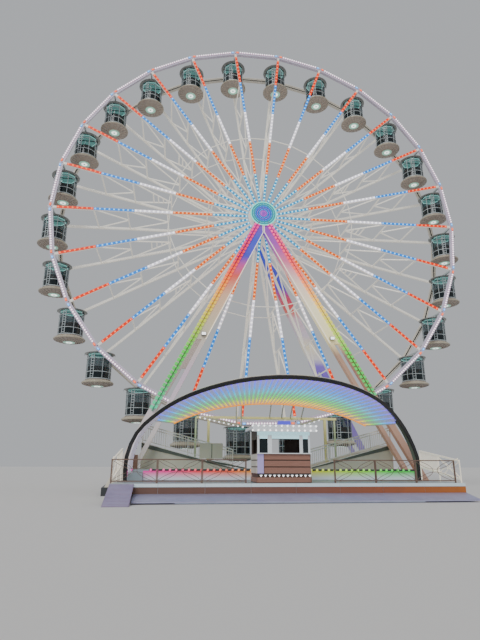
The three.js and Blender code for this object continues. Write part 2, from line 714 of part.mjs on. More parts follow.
function buildCanopy(base) {
  const curve = archCurve();
  const points = curve.getPoints(ARCH_STEPS);
  const half = ARCH_SECTION / 2;
  const band = (margin) => {
    const reach = half + margin;
    const section = new THREE.Shape([
      new THREE.Vector2(-reach, -reach),
      new THREE.Vector2(reach, -reach),
      new THREE.Vector2(reach, reach),
      new THREE.Vector2(-reach, reach),
    ]);
    return new THREE.ExtrudeGeometry(section, { steps: ARCH_STEPS, extrudePath: curve });
  };
  const trim = box(-9000, 9000, -9000, 0, -1000, DECK_TOP + SEAT);
  add(base, 'canopy_arch', cut(band(0), [trim]), 'black');

  // Between two ribs the sheet is flat, because all ribs run towards one point. It runs into
  // the arch and is cut back to lie against it.
  const apex = new THREE.Vector3(...MEMBRANE_APEX);
  const frontEdge = [];
  for (let index = 0; index <= MEMBRANE_BAYS; index += 1) {
    const x = MEMBRANE_SPAN * (-1 + (2 * index) / MEMBRANE_BAYS);
    frontEdge.push(pointAt(points, x).sub(new THREE.Vector3(0, 0, MEMBRANE_THICK / 2)));
  }
  const rearEdge = frontEdge.map((point) => {
    const share = (MEMBRANE_REAR - apex.y) / (point.y - apex.y);
    return apex.clone().lerp(point, share);
  });
  const membrane = sheet(frontEdge, rearEdge, MEMBRANE_THICK);
  add(base, 'canopy_membrane', cut(membrane, [band(SEAT)]), 'membrane');

  const bar = PORTAL_BAR / 2;
  const foot = loadingTop(PORTAL_X + bar) + SEAT;
  const columns = [-1, 1].map((side) => {
    const x = side * PORTAL_X;
    return box(x - bar, x + bar, PORTAL_Y - bar, PORTAL_Y + bar, foot, PORTAL_TOP);
  });
  const reach = PORTAL_X + PORTAL_OVERHANG;
  const beam = box(-reach, reach, PORTAL_Y - bar, PORTAL_Y + bar, PORTAL_TOP - PORTAL_BAR, PORTAL_TOP);
  add(base, 'portal_frame', join([beam, ...columns]), 'white');
}

// The height of a sloping loading deck at a distance from the middle.
function loadingTop(x) {
  const share = (x - LOADING_LOW_X) / (LOADING_HIGH_X - LOADING_LOW_X);
  return LOADING_LOW_Z + (LOADING_HIGH_Z - LOADING_LOW_Z) * share;
}

// The point of a row of points at a given x, with its neighbours joined by straight lines.
function pointAt(points, x) {
  const next = points.findIndex((point) => point.x >= x);
  const from = points[next - 1];
  const to = points[next];
  return from.clone().lerp(to, (x - from.x) / (to.x - from.x));
}

const ferrisWheel = new THREE.Group();
const base = new THREE.Group();
ferrisWheel.add(base);
buildAxle(base);
buildLegs(base);
buildDecks(base);
buildFences(base);
buildBooth(base);
buildCanopy(base);
ferrisWheel.add(buildWheel());

export default ferrisWheel;
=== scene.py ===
"""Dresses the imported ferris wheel: lamps, lattice, cabins, canopy cloth, booth and railings.

Metres, in the CAD frame: +Z up, +Y away from the visitors, the wheel's axle along Y.
"""

import math

import bmesh
import bpy
from mathutils import Matrix, Vector


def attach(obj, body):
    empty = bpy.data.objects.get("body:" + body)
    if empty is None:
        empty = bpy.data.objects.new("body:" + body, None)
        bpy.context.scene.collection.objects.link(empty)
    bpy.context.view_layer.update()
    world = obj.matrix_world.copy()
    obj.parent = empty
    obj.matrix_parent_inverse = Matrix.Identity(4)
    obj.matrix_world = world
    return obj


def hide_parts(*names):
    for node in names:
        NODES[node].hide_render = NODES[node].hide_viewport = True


bl_info = {
    "name": "Ferris wheel dressing",
    "version": (1, 0, 0),
    "blender": (4, 5, 0),
    "location": "3D View > Sidebar > Ferris wheel",
    "description": "Lamps, cabins, canopy and fittings of a travelling ferris wheel",
    "category": "Add Mesh",
}

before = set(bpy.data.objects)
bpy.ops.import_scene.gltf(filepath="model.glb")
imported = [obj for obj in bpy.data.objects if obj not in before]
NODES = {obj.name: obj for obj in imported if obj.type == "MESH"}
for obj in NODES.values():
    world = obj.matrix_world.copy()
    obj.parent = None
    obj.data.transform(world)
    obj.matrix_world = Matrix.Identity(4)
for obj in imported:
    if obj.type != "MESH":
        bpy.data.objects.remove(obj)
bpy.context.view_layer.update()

# The wheel, as the source has it
SPOKES = 26
STEP = math.tau / SPOKES
FIRST = math.radians(98.01)
HUB = 17.83
RIM_FRONT = -1.38
PIN_CIRCLE = 13.93
CHORD_Y = 1.32
CHORD_FACE = -1.395
RUNGS = (3.75, 6.4, 9.1, 11.27)
CABINS = [f"cabin_{index + 1:02d}" for index in range(SPOKES)]

# The lights of the wheel: stretches of a spoke, circles of the rims, and the disc of the hub
SPOKE_RUNS = {
    "cyan": (0.98, 3.42),
    "orange": (3.42, 6.08),
    "cool": (6.08, 8.62),
    "blue": (8.62, 11.25),
    "red": (11.25, 13.6),
}
LAMP_CIRCLE, TUBE_CIRCLE = 14.03, 14.02
DISC_RADIUS, DISC_BACK, DISC_FACE = 0.9, -1.88, -1.925

# Levels in a cabin, from its pin
CABIN_FLOOR, POST_FOOT, EAVES = -1.9, -1.87, -0.3

# The front legs; each pair holds at the top and at the foot
LEG_HIGH, LEG_LOW = 17.35, 0.4
LEG_CROTCH, LEG_FORK = 16.4, 8.6
LEG_NEAR = (0.015, 7.69)
LEG_FAR = (0.47, 8.8)
LEG_FACE = (1.78, 4.45)
LIGHTS_TOP, LEFT_LIGHTS_FOOT, RIGHT_LIGHTS_FOOT = 17.2, 4.4, 5.4

# The decks
DECK_FRONT, DECK_TOP = -9.2, 0.74
DECK_LEFT, DECK_RIGHT = -8.0, 7.82
UPPER_FRONT, UPPER_TOP = -4.9, 1.27
APRON_HALF, APRON_FRONT = 5.28, -10.2
RAMP_LEFT, RAMP_RIGHT = -7.97, -7.03
RAMP_FOOT, RAMP_RISE = (-11.3, 0.015), (2.1, 0.725)
RISER_LEFT, RISER_RIGHT = -7.82, 7.7
STEPS_LEFT, STEPS_RIGHT = -7.61, -6.89
GAP_LEFT, GAP_RIGHT = -7.4, -6.6
RISER_LIGHTS = (-7.8, 7.7)

# The fences, and the rails at the sides and on the loading decks
FENCE_STARTS = {"left": -7.97, "right": 1.7}
FENCE_BAYS, FENCE_BAY = 3, 1.9
FENCE_LOW, FENCE_TOP = 0.86, 1.7
SIDE_FRONT, SIDE_BACK = -9.0, -5.3
LOAD_LOW, LOAD_HIGH = (2.1, 1.32), (7.15, 2.64)
LOAD_FRONT = -3.3

# The booth
BOOTH_LEFT, BOOTH_RIGHT, BOOTH_FRONT, BOOTH_BACK = -1.72, 0.70, -8.85, -7.15
COUNTER, WINDOW_TOP = 2.02, 2.8
BAND_LOW, BAND_HIGH, BOOTH_TOP = 2.94, 3.19, 3.24

# The canopy: one half of its arch, its cloth, and the portal's beam behind it
ARCH_HALF = (
    (7.74, -5.04, 0.6),
    (7.76, -5.0, 1.8),
    (7.34, -5.05, 3.0),
    (6.38, -5.88, 3.9),
    (4.89, -7.1, 4.7),
    (2.53, -8.3, 5.31),
)
ARCH_CROWN = (0.0, -8.7, 5.5)
ARCH_STEPS = 72
CLOTH_APEX = Vector((0.0, 4.7, 3.7))
CLOTH_REAR = -3.69
CLOTH_SPAN = 6.7
CLOTH_COLUMNS, CLOTH_ROWS = 64, 8
CLOTH_THICKNESS = 0.008
BEAM_Y, BEAM_LOW, BEAM_HIGH = -2.37, 4.13, 4.15

# The camera, solved from the corners of the rim
CAMERA_PLACE = (-5.47, -30.91, 1.55)
CAMERA_YAW, CAMERA_PITCH, CAMERA_ROLL = (math.radians(a) for a in (7.626, 16.526, 0.171))
CAMERA_LENS, CAMERA_SENSOR = 27.27, 36.0
CAMERA_REACH = 1000.0

# The studio
FLOOR_HALF, FLOOR_LEVEL = 220.0, -0.004
SKY_STRENGTH = 0.75
SUN_STRENGTH, SUN_SOFTNESS = 1.6, math.radians(35)
SUN_TURN = (math.radians(52), 0, math.radians(-28))

# How finely round and bowed things are made, and what is still shaded smooth
CABIN_SIDES, DISC_SIDES, TUBE_SIDES = 30, 52, 8
BOW_STEPS = 12
SMOOTH_UP_TO = math.radians(40)

# The roughness of frosted polycarbonate, and the name of a UV map that runs along a strip
FROSTED = 0.35
RUN = "run"


def linear(code, alpha=1.0):
    """An sRGB hex colour as Blender's linear one."""
    parts = [int(code[i : i + 2], 16) / 255 for i in (1, 3, 5)]
    parts = [c / 12.92 if c <= 0.04045 else ((c + 0.055) / 1.055) ** 2.4 for c in parts]
    return (*parts, alpha)


def put(tree, kind, inputs=(), **settings):
    """Adds a node with its settings; an input is a value or the socket that feeds it."""
    made = tree.nodes.new(kind)
    for name, value in settings.items():
        setattr(made, name, value)
    for key, value in dict(inputs).items():
        if isinstance(value, bpy.types.NodeSocket):
            tree.links.new(value, made.inputs[key])
        else:
            made.inputs[key].default_value = value
    return made


# Materials


def ramp(tree, value, low, high, stops):
    """A colour that runs through the stops as value goes from low to high."""
    share = put(tree, "ShaderNodeMapRange", {"Value": value, "From Min": low, "From Max": high})
    made = put(tree, "ShaderNodeValToRGB", {"Fac": share.outputs[0]})
    points = made.color_ramp.elements
    while len(points) < len(stops):
        points.new(1.0)
    for point, (place, code) in zip(points, stops):
        point.position, point.color = place, linear(code)
    return made.outputs["Color"]


class Finish:
    """A material being made: its tree, its shader, and the Object coordinates it reads."""

    def __init__(self, name, roughness, metallic=0.0, **sockets):
        self.material = bpy.data.materials.new(name)
        self.material.use_nodes = True
        self.tree = self.material.node_tree
        self.shader = self.tree.nodes["Principled BSDF"]
        self.shader.inputs["Roughness"].default_value = roughness
        self.shader.inputs["Metallic"].default_value = metallic
        for key, value in sockets.items():
            self.shader.inputs[key.replace("_", " ")].default_value = value
        self.place = put(self.tree, "ShaderNodeTexCoord").outputs["Object"]

    def noise(self, size, detail=3.0, stretch=(1, 1, 1)):
        """A noise whose features are about size metres, longer where stretch is below 1."""
        at = put(self.tree, "ShaderNodeMapping", {"Vector": self.place, "Scale": stretch})
        return put(
            self.tree,
            "ShaderNodeTexNoise",
            {"Vector": at.outputs[0], "Scale": 1 / size, "Detail": detail},
        ).outputs[0]

    def mix(self, share, first, second):
        """Between two colours, each a hex code or a socket."""
        colours = [linear(c) if isinstance(c, str) else c for c in (first, second)]
        return put(
            self.tree,
            "ShaderNodeMix",
            {"Factor": share, 6: colours[0], 7: colours[1]},
            data_type="RGBA",
        ).outputs[2]

    def colour(self, socket):
        """The body's colour."""
        self.tree.links.new(socket, self.shader.inputs["Base Color"])

    def glow(self, socket, strength):
        """The light that the surface gives, where its colour changes."""
        self.tree.links.new(socket, self.shader.inputs["Emission Color"])
        self.shader.inputs["Emission Strength"].default_value = strength

    def shine(self, code, strength):
        """The same glow all over."""
        self.shader.inputs["Emission Color"].default_value = linear(code)
        self.shader.inputs["Emission Strength"].default_value = strength

    def scaled(self, value, low, high):
        """A value from 0 to 1, brought between low and high."""
        made = put(self.tree, "ShaderNodeMapRange", {"Value": value, "To Min": low, "To Max": high})
        return made.outputs[0]

    def rough(self, value, low, high):
        """A roughness that follows a value from 0 to 1."""
        self.tree.links.new(self.scaled(value, low, high), self.shader.inputs["Roughness"])

    def bump(self, height, depth, strength=0.6):
        """Height from 0 to 1, depth in metres."""
        made = put(
            self.tree,
            "ShaderNodeBump",
            {"Height": height, "Distance": depth, "Strength": strength},
        )
        self.tree.links.new(made.outputs[0], self.shader.inputs["Normal"])

    def spray(self):
        """The dimples of sprayed paint, 2 mm in life, drawn 12 mm coarse so that they show."""
        self.bump(self.noise(0.012, 1.0), 0.0006)

    def along(self, axis):
        """The place along X, Y or Z, in metres."""
        return put(self.tree, "ShaderNodeSeparateXYZ", {0: self.place}).outputs[axis]

    def along_run(self):
        """The share of a strip's length, from its own UV map."""
        at = put(self.tree, "ShaderNodeUVMap", uv_map=RUN).outputs[0]
        return put(self.tree, "ShaderNodeSeparateXYZ", {0: at}).outputs[0]

    def bands(self, axis, pitch):
        """Parallel bands across one axis, one each pitch metres."""
        return put(
            self.tree,
            "ShaderNodeTexWave",
            {"Vector": self.place, "Scale": math.tau / pitch / 20, "Distortion": 0.0},
            wave_type="BANDS",
            bands_direction=axis,
        ).outputs["Fac"]


def sprayed_steel(name, light, dark, roughness=0.38, size=0.9, lit=0.0):
    """Sprayed two-pack paint on steel: semi-gloss, slightly uneven, dusty in patches.

    What the lamps around it leave on it is shown as a faint glow of its own, of strength lit.
    """
    made = Finish(name, roughness, Coat_Weight=0.15)
    made.shine(light, lit)
    made.colour(made.mix(made.noise(size), light, dark))
    made.rough(made.noise(size / 3), roughness - 0.08, roughness + 0.14)
    made.spray()
    return made.material


def lamp_cover(name, body, light, strength):
    """Frosted polycarbonate over a lamp: the body's own colour, and the light that it gives."""
    made = Finish(name, FROSTED, Specular_IOR_Level=0.25)
    made.colour(made.mix(made.scaled(made.noise(0.04, 1.0), 0.0, 0.4), body, light))
    made.shine(light, strength)
    return made.material


def tinted(name, socket_of, strength, roughness=FROSTED):
    """A lamp cover whose colour changes along the piece."""
    made = Finish(name, roughness)
    socket = socket_of(made)
    made.colour(socket)
    made.glow(socket, strength)
    return made.material


def floodlit_leg(name, stops, strength=0.14):
    """White two-pack paint on a leg, as the coloured floodlights leave it from foot to top."""
    made = Finish(name, 0.4, Coat_Weight=0.15)
    tint = ramp(made.tree, made.along(2), LEG_LOW, LEG_HIGH, stops)
    patches = made.scaled(made.noise(0.8), 0.0, 0.16)
    made.colour(made.mix(patches, tint, "#e9e6ea"))
    made.glow(tint, strength)
    made.spray()
    return made.material


def tread_plate(name, light, dark, pitch=0.045, lit=0.0):
    """Rolled aluminium tread plate: dull bright metal with raised bars, scuffed by feet.

    The bars are about 30 mm apart in life and are drawn a pitch apart so that they show.
    """
    made = Finish(name, 0.42, 0.55)
    # The glow of strength lit is painted light from lamps nearby; the plate itself holds no lamps.
    made.shine(light, lit)
    made.colour(made.mix(made.noise(0.7, 5.0), light, dark))
    checks = put(
        made.tree,
        "ShaderNodeTexVoronoi",
        {"Vector": made.place, "Scale": 1 / pitch, "Randomness": 0.0},
    ).outputs["Distance"]
    made.rough(made.noise(0.25, 4.0), 0.34, 0.6)
    made.bump(checks, 0.002)
    return made.material


def stained_boards(name, light, dark):
    """Stained softwood boards, 120 mm high: grain along X, satin varnish, dark joints.

    The grain is drawn 20 mm wide so that it shows.
    """
    made = Finish(name, 0.55, Coat_Weight=0.1)
    grain = made.noise(0.02, 4.0, (0.06, 1, 1))
    made.colour(made.mix(grain, light, dark))
    made.bump(made.bands("Z", 0.12), 0.003, 0.4)
    return made.material


def plain_paint(name, light, dark, size=0.5):
    """Brushed satin enamel: upright streaks, faint dirt, and brush marks drawn 20 mm coarse."""
    made = Finish(name, 0.5)
    made.colour(made.mix(made.noise(size, 4.0, (1, 1, 0.3)), light, dark))
    made.rough(made.noise(size / 4), 0.4, 0.6)
    made.bump(made.noise(0.02, 2.0), 0.0005)
    return made.material


MATERIALS = {}


def make_materials():
    """All finishes, under short names."""
    m = MATERIALS
    make_steelwork_paints(m)
    make_base_finishes(m)
    make_cabin_finishes(m)
    make_lamp_covers(m)
    make_leg_paints(m)
    make_running_lights(m)
    make_cloth(m)
    make_fascia(m)
    make_glazing(m)


def make_steelwork_paints(m):
    """Semi-gloss paints of the steelwork, with a glow of their own where lamps stand close."""
    # Where a lit strength is given, the glow is painted light: the steel holds no lamps, and the glow stands
    # for the light of lamps nearby.
    m["chord"] = sprayed_steel("Sprayed ivory steel", "#f2eee4", "#dcd7cb", lit=0.26)
    m["brace"] = sprayed_steel("Sprayed bracing steel", "#f2eee4", "#dcd7cb", 0.4, 0.4, 0.34)
    m["rim"] = sprayed_steel("Sprayed lilac grey steel", "#d2cada", "#b8aec2", lit=0.1)
    m["rear_rim"] = sprayed_steel("Sprayed stone grey steel", "#d8d2c6", "#bcb5a8", lit=0.12)
    m["hub"] = sprayed_steel("Machinery grey enamel", "#7d8286", "#666b70", 0.32)
    m["dark"] = sprayed_steel("Chassis grey paint", "#3c4043", "#2b2e30", 0.55)
    m["black"] = sprayed_steel("Satin black powder coat", "#1c1d20", "#141518", 0.42)
    m["lining"] = sprayed_steel("Lilac lit lining plate", "#e9e0ee", "#d6cae0", lit=0.25)
    m["side_rail"] = sprayed_steel("Ivory side rail enamel", "#fbf3e2", "#efe4cf", lit=0.3)


def make_base_finishes(m):
    """Satin enamels, dull plates underfoot, and the booth's boards and white laminate."""
    m["rail"] = plain_paint("Ivory rail enamel", "#e4e2d6", "#cfccbe")
    m["cream"] = plain_paint("Cream panel enamel", "#d3cfb9", "#bcb79f", 1.2)
    m["fence"] = plain_paint("Brown fence enamel", "#7d6557", "#685247")
    m["deck"] = tread_plate("Tread plate aluminium", "#b4c0c4", "#949fa6")
    # The edge strips' pale cyan and their glow are painted light on plain aluminium.
    m["edge"] = tread_plate("Cyan lit deck edge aluminium", "#e6f5f9", "#cfe2ea", lit=0.12)
    m["ramp"] = tread_plate("Lilac lit ribbed plate", "#b6a8c6", "#9688a8", 0.06)
    m["apron"] = tread_plate("Lilac lit apron plate", "#c3c2dc", "#a4a3c4", 0.06)
    m["boards"] = stained_boards("Stained booth boards", "#a87a6a", "#86604f")
    m["panel"] = plain_paint("Ivory booth panel", "#e2ddd0", "#cdc7b8", 0.8)
    m["booth"] = plain_paint("Brown booth carcass", "#4a3830", "#382a24")
    m["gloss"] = sprayed_steel("Gloss white laminate", "#f3f6f8", "#e2e8ec", 0.2)
    m["lit_post"] = plain_paint("Yellow lit ivory enamel", "#f4eda6", "#e6dc94")
    m["column"] = plain_paint("Green lit ivory enamel", "#cfdfb4", "#b6c8a0")
    m["stringer"] = plain_paint("Grey green stringer enamel", "#5f675a", "#495146")


def make_cabin_finishes(m):
    """Glossy gelcoats, a duller coat under the floor, satin metal and plastic."""
    m["shell"] = sprayed_steel("Pearl beige gelcoat", "#c9c0aa", "#aba18b", 0.35, 0.3)
    m["pan"] = sprayed_steel("Grey brown underbody coat", "#b8aca1", "#998e84", 0.6, 0.3)
    m["roof"] = sprayed_steel("Pearl grey gelcoat", "#9ea09c", "#878a88", 0.35, 0.3)
    m["frame"] = sprayed_steel("Anodised silver frame", "#c6cfd0", "#a9b4b6", 0.3, 0.3)
    m["seat"] = plain_paint("Brown moulded seat", "#7a5a48", "#5c4234", 0.2)


def make_lamp_covers(m):
    """Strips and lit panels are dim and deep in colour, diodes bright and nearly white."""
    for key, name, body, light, strength in (
        ("red", "Red lamp cover", "#a01c04", "#ff3c0c", 0.62),
        ("blue", "Blue lamp cover", "#0658a8", "#1490f4", 0.62),
        ("cool", "White lamp cover", "#dcd8e2", "#e8e4f2", 0.6),
        ("orange", "Orange lamp cover", "#a04404", "#ff6a10", 0.62),
        ("cyan", "Cyan lamp cover", "#146c98", "#28a8e0", 0.5),
        ("pink", "Pink lamp cover", "#b088a4", "#e8b4e0", 0.26),
        ("dot_red", "Red diode", "#ff7a4a", "#ff8a5a", 1.1),
        ("dot_blue", "Blue diode", "#84ccff", "#90d0ff", 1.1),
        ("dot_cool", "White diode", "#ffffff", "#ffffff", 1.4),
        ("dot_orange", "Orange diode", "#ffb070", "#ffb878", 1.1),
        ("dot_cyan", "Cyan diode", "#a0ecff", "#b4f0ff", 1.1),
        ("mint", "Mint lamp cover", "#58e8c8", "#7ff0d8", 0.7),
        ("teal", "Teal lamp cover", "#1c8c98", "#2cb4b8", 0.35),
        ("azure", "Azure lamp cover", "#1c58b8", "#2a78e0", 0.4),
        ("violet", "Violet lamp cover", "#8030b8", "#b060d8", 0.4),
        ("magenta", "Magenta diode", "#ff50b8", "#ff70c8", 0.9),
        ("amber", "Amber light tube", "#f0901c", "#ffb040", 0.7),
        ("edge_light", "Warm white light tube", "#f6ecd8", "#fff2dc", 0.6),
        ("frieze", "Pale cyan lit frieze", "#b4e6f0", "#c8f2f8", 0.55),
        ("ceiling", "Teal lit ceiling panel", "#78c8c0", "#8fd8d0", 0.6),
        ("ceiling_ring", "Cyan lit ceiling rim", "#a0f4f0", "#b8fff8", 1.2),
        ("halo", "Mint halo of the underside lamp", "#98c8b4", "#a8e4cc", 0.35),
        ("cool_glow", "White underside lamp", "#f4fff8", "#f4fff8", 1.3),
        ("cap", "Grey green lamp cap", "#7c9488", "#8cb0a0", 0.15),
        ("lilac", "Pale lilac lit panel", "#a89cc8", "#b4a4e0", 0.22),
        ("violet_box", "Blue violet lit box", "#4c48c8", "#6a64f0", 0.4),
    ):
        m[key] = lamp_cover(name, body, light, strength)


def make_leg_paints(m):
    """The same paint on all legs, in the light that reaches each of them."""
    m["leg_front_left"] = floodlit_leg(
        "Floodlit leg, front left",
        [
            (0.0, "#cfc8b4"),
            (0.2, "#cdbfbe"),
            (0.35, "#d0b4c8"),
            (0.52, "#cfc3a4"),
            (0.66, "#e8b890"),
            (0.74, "#f05038"),
            (0.79, "#d030a0"),
            (0.83, "#2420d4"),
            (0.92, "#1a3ce4"),
            (1.0, "#9a3cb8"),
        ],
    )
    m["leg_front_right"] = floodlit_leg(
        "Floodlit leg, front right",
        [
            (0.0, "#a07862"),
            (0.44, "#ac8468"),
            (0.5, "#fff0b0"),
            (0.62, "#fff6cc"),
            (0.72, "#f6dcc8"),
            (0.82, "#dc6898"),
            (0.9, "#a030b8"),
            (1.0, "#8420b8"),
        ],
        0.3,
    )
    m["leg_rear_left"] = floodlit_leg(
        "Floodlit leg, rear left",
        [(0.0, "#b8aaa0"), (0.6, "#c8b8b0"), (0.85, "#7c2cd8"), (1.0, "#3a2cd8")],
    )
    m["leg_rear_right"] = floodlit_leg(
        "Floodlit leg, rear right",
        [
            (0.0, "#a090c0"),
            (0.4, "#7a50e0"),
            (0.47, "#8a68e8"),
            (0.5, "#e8e4ee"),
            (0.55, "#fff4d0"),
            (0.6, "#dcd0e4"),
            (0.67, "#e4c8d8"),
            (0.7, "#f05038"),
            (0.76, "#e03070"),
            (0.8, "#2828e0"),
            (1.0, "#1c50f0"),
        ],
    )


# The colours of the lights at one moment, from low to high and from left to right
LEG_COLOURS = [
    (0.0, "#08b080"),
    (0.12, "#04a030"),
    (0.28, "#20b408"),
    (0.42, "#b0b800"),
    (0.55, "#e0a800"),
    (0.68, "#e85800"),
    (0.78, "#e00800"),
    (0.9, "#e00058"),
    (1.0, "#e01090"),
]
RISER_COLOURS = [
    (0.0, "#f010b0"),
    (0.14, "#f01888"),
    (0.24, "#f02030"),
    (0.34, "#f05010"),
    (0.44, "#f0a810"),
    (0.6, "#e0d810"),
    (0.78, "#98e010"),
    (0.9, "#20d020"),
    (1.0, "#08b828"),
]
# The same from the front end of a strip under the cloth to its rear end
CANOPY_COLOURS = [
    (0.0, "#8c60ff"),
    (0.12, "#5c78ff"),
    (0.28, "#1c9cff"),
    (0.44, "#10d0e8"),
    (0.58, "#20e088"),
    (0.72, "#84e830"),
    (0.86, "#ffe010"),
    (1.0, "#ffa010"),
]


def leg_tint(f):
    """The colour of a leg's lights at each height."""
    return ramp(f.tree, f.along(2), LEFT_LIGHTS_FOOT, LIGHTS_TOP, LEG_COLOURS)


def riser_tint(f):
    """The colour of the riser's lamps from left to right."""
    return ramp(f.tree, f.along(0), *RISER_LIGHTS, RISER_COLOURS)


def canopy_tint(f):
    """The colour of the light strips from front to rear."""
    return ramp(f.tree, f.along_run(), 0.0, 1.0, CANOPY_COLOURS)


def fading(f):
    """The lamps' colours on a pale plate, weaker towards its foot."""
    share = put(
        f.tree,
        "ShaderNodeMapRange",
        {"Value": f.along(2), "From Min": 0.84, "From Max": 1.2, "To Min": 0.06, "To Max": 1.0},
    )
    return f.mix(share.outputs[0], "#c8cfd4", riser_tint(f))


def make_running_lights(m):
    """Lights whose colour changes along the piece."""
    m["leg_strip"] = tinted("Leg strip", lambda f: f.mix(0.45, leg_tint(f), "#1c1420"), 0.22)
    m["leg_diodes"] = tinted("Leg diodes", lambda f: f.mix(0.04, leg_tint(f), "#ffffff"), 1.25)
    m["riser_lamp"] = tinted("Riser lamp", lambda f: f.mix(0.1, riser_tint(f), "#ffffff"), 0.8)
    m["riser_glow"] = tinted("Riser plate in lamp light", fading, 0.26, 0.5)
    m["rainbow"] = tinted("Rainbow light strip", canopy_tint, 1.0)


def make_cloth(m):
    """White coated cloth: soft sheen, a fine weave drawn 20 mm coarse so that it shows."""
    made = Finish("Coated canopy cloth", 0.6, Sheen_Weight=0.2)
    base = made.mix(made.noise(1.5), "#ece7f6", "#ddd6ec")
    # The light strips leave their colours on it from below.
    tint = made.mix(0.4, base, canopy_tint(made))
    made.colour(tint)
    made.glow(tint, 0.3)
    made.bump(made.bands("X", 0.02), 0.001, 0.3)
    m["cloth"] = made.material


def make_fascia(m):
    """Painted plywood: matt and scuffed, in warmer light towards the right."""
    made = Finish("Painted fascia board", 0.55)
    shades = [(0.0, "#6f5346"), (0.5, "#845648"), (0.75, "#a05a38"), (1.0, "#c06e28")]
    tint = ramp(made.tree, made.along(0), DECK_LEFT, DECK_RIGHT, shades)
    made.colour(made.mix(made.scaled(made.noise(0.4, 4.0), 0.0, 0.3), tint, "#4a3830"))
    made.bump(made.noise(0.03, 3.0), 0.0008)
    m["fascia"] = made.material


def make_glazing(m):
    """Acrylic sheet: glossy, clear above the sill and smoked below it, with an acrylic's IOR."""
    for name, text, alpha, codes in (
        ("glass", "Clear tinted glazing", 0.38, ("#0f2a30", "#16404a")),
        ("dark_glass", "Smoked glazing", 0.86, ("#081416", "#0e2026")),
    ):
        made = Finish(text, 0.08, Alpha=alpha, IOR=1.49)
        made.colour(made.mix(made.noise(0.6), *codes))
        m[name] = made.material


# Geometry Nodes


def new_tree(name, sockets):
    """A tree whose inputs are a geometry, the named sockets and a material."""
    tree = bpy.data.node_groups.new(name, "GeometryNodeTree")
    kinds = {"float": "NodeSocketFloat", "int": "NodeSocketInt", "vector": "NodeSocketVector"}
    tree.interface.new_socket("Geometry", in_out="INPUT", socket_type="NodeSocketGeometry")
    for label, kind in sockets:
        tree.interface.new_socket(label, in_out="INPUT", socket_type=kinds[kind])
    tree.interface.new_socket("Material", in_out="INPUT", socket_type="NodeSocketMaterial")
    tree.interface.new_socket("Geometry", in_out="OUTPUT", socket_type="NodeSocketGeometry")
    return tree, put(tree, "NodeGroupInput").outputs


def end_tree(tree, given, geometry):
    """Realizes the instances, paints them and ends the tree."""
    real = put(tree, "GeometryNodeRealizeInstances", {0: geometry})
    painted = put(
        tree, "GeometryNodeSetMaterial", {"Geometry": real.outputs[0], "Material": given["Material"]}
    )
    put(tree, "NodeGroupOutput", {0: painted.outputs[0]})
    return tree


def sweep_tree(name, sockets, section, inputs):
    """A section carried along the edges of a mesh."""
    tree, given = new_tree(name, sockets)
    path = put(tree, "GeometryNodeMeshToCurve", {"Mesh": given["Geometry"]})
    profile = put(tree, section, {key: given[source] for key, source in inputs.items()})
    swept = put(
        tree,
        "GeometryNodeCurveToMesh",
        {"Curve": path.outputs[0], "Profile Curve": profile.outputs[0], "Fill Caps": True},
    )
    return end_tree(tree, given, swept.outputs[0])


def bar_tree():
    """Flat or square bars along the edges of a mesh."""
    return sweep_tree(
        "Bars along lines",
        [("Width", "float"), ("Height", "float")],
        "GeometryNodeCurvePrimitiveQuadrilateral",
        {"Width": "Width", "Height": "Height"},
    )


def tube_tree():
    """Round tubes along the edges of a mesh."""
    return sweep_tree(
        "Tubes along lines",
        [("Radius", "float"), ("Sides", "int")],
        "GeometryNodeCurvePrimitiveCircle",
        {"Resolution": "Sides", "Radius": "Radius"},
    )


def lamp_tree():
    """Small faceted lamps, evenly spaced along the edges of a mesh."""
    tree, given = new_tree("Lamps along lines", [("Spacing", "float"), ("Radius", "float")])
    path = put(tree, "GeometryNodeMeshToCurve", {"Mesh": given["Geometry"]})
    spaced = put(
        tree,
        "GeometryNodeResampleCurve",
        {"Curve": path.outputs[0], "Length": given["Spacing"]},
        mode="LENGTH",
    )
    lamp = put(tree, "GeometryNodeMeshIcoSphere", {"Radius": given["Radius"], "Subdivisions": 1})
    lamps = put(
        tree,
        "GeometryNodeInstanceOnPoints",
        {"Points": spaced.outputs[0], "Instance": lamp.outputs[0]},
    )
    return end_tree(tree, given, lamps.outputs[0])


def round_tree():
    """Copies of a mesh turned about an axis through a centre."""
    sockets = [
        ("Count", "int"),
        ("First", "float"),
        ("Step", "float"),
        ("Axis", "vector"),
        ("Centre", "vector"),
    ]
    tree, given = new_tree("Copies round an axis", sockets)
    points = put(
        tree, "GeometryNodePoints", {"Count": given["Count"], "Position": given["Centre"]}
    )
    index = put(tree, "GeometryNodeInputIndex").outputs[0]
    turn = put(tree, "ShaderNodeMath", {0: index, 1: given["Step"]}, operation="MULTIPLY")
    angle = put(tree, "ShaderNodeMath", {0: turn.outputs[0], 1: given["First"]}, operation="ADD")
    euler = put(
        tree, "ShaderNodeVectorMath", {0: given["Axis"], "Scale": angle.outputs[0]}, operation="SCALE"
    )
    rotation = put(tree, "FunctionNodeEulerToRotation", {0: euler.outputs[0]})
    copies = put(
        tree,
        "GeometryNodeInstanceOnPoints",
        {
            "Points": points.outputs[0],
            "Instance": given["Geometry"],
            "Rotation": rotation.outputs[0],
        },
    )
    return end_tree(tree, given, copies.outputs[0])


TREES = {}


def make_trees():
    """All trees, under short names."""
    TREES.update(bars=bar_tree(), tubes=tube_tree(), lamps=lamp_tree(), around=round_tree())


def add_object(name, data):
    """A new object in the scene's own collection."""
    made = bpy.data.objects.new(name, data)
    bpy.context.scene.collection.objects.link(made)
    return made


def plain_mesh(holder):
    """The mesh of an object with its modifiers run, and without the object."""
    depsgraph = bpy.context.evaluated_depsgraph_get()
    made = bpy.data.meshes.new_from_object(holder.evaluated_get(depsgraph))
    holder.modifiers.clear()
    bpy.data.objects.remove(holder)
    return made


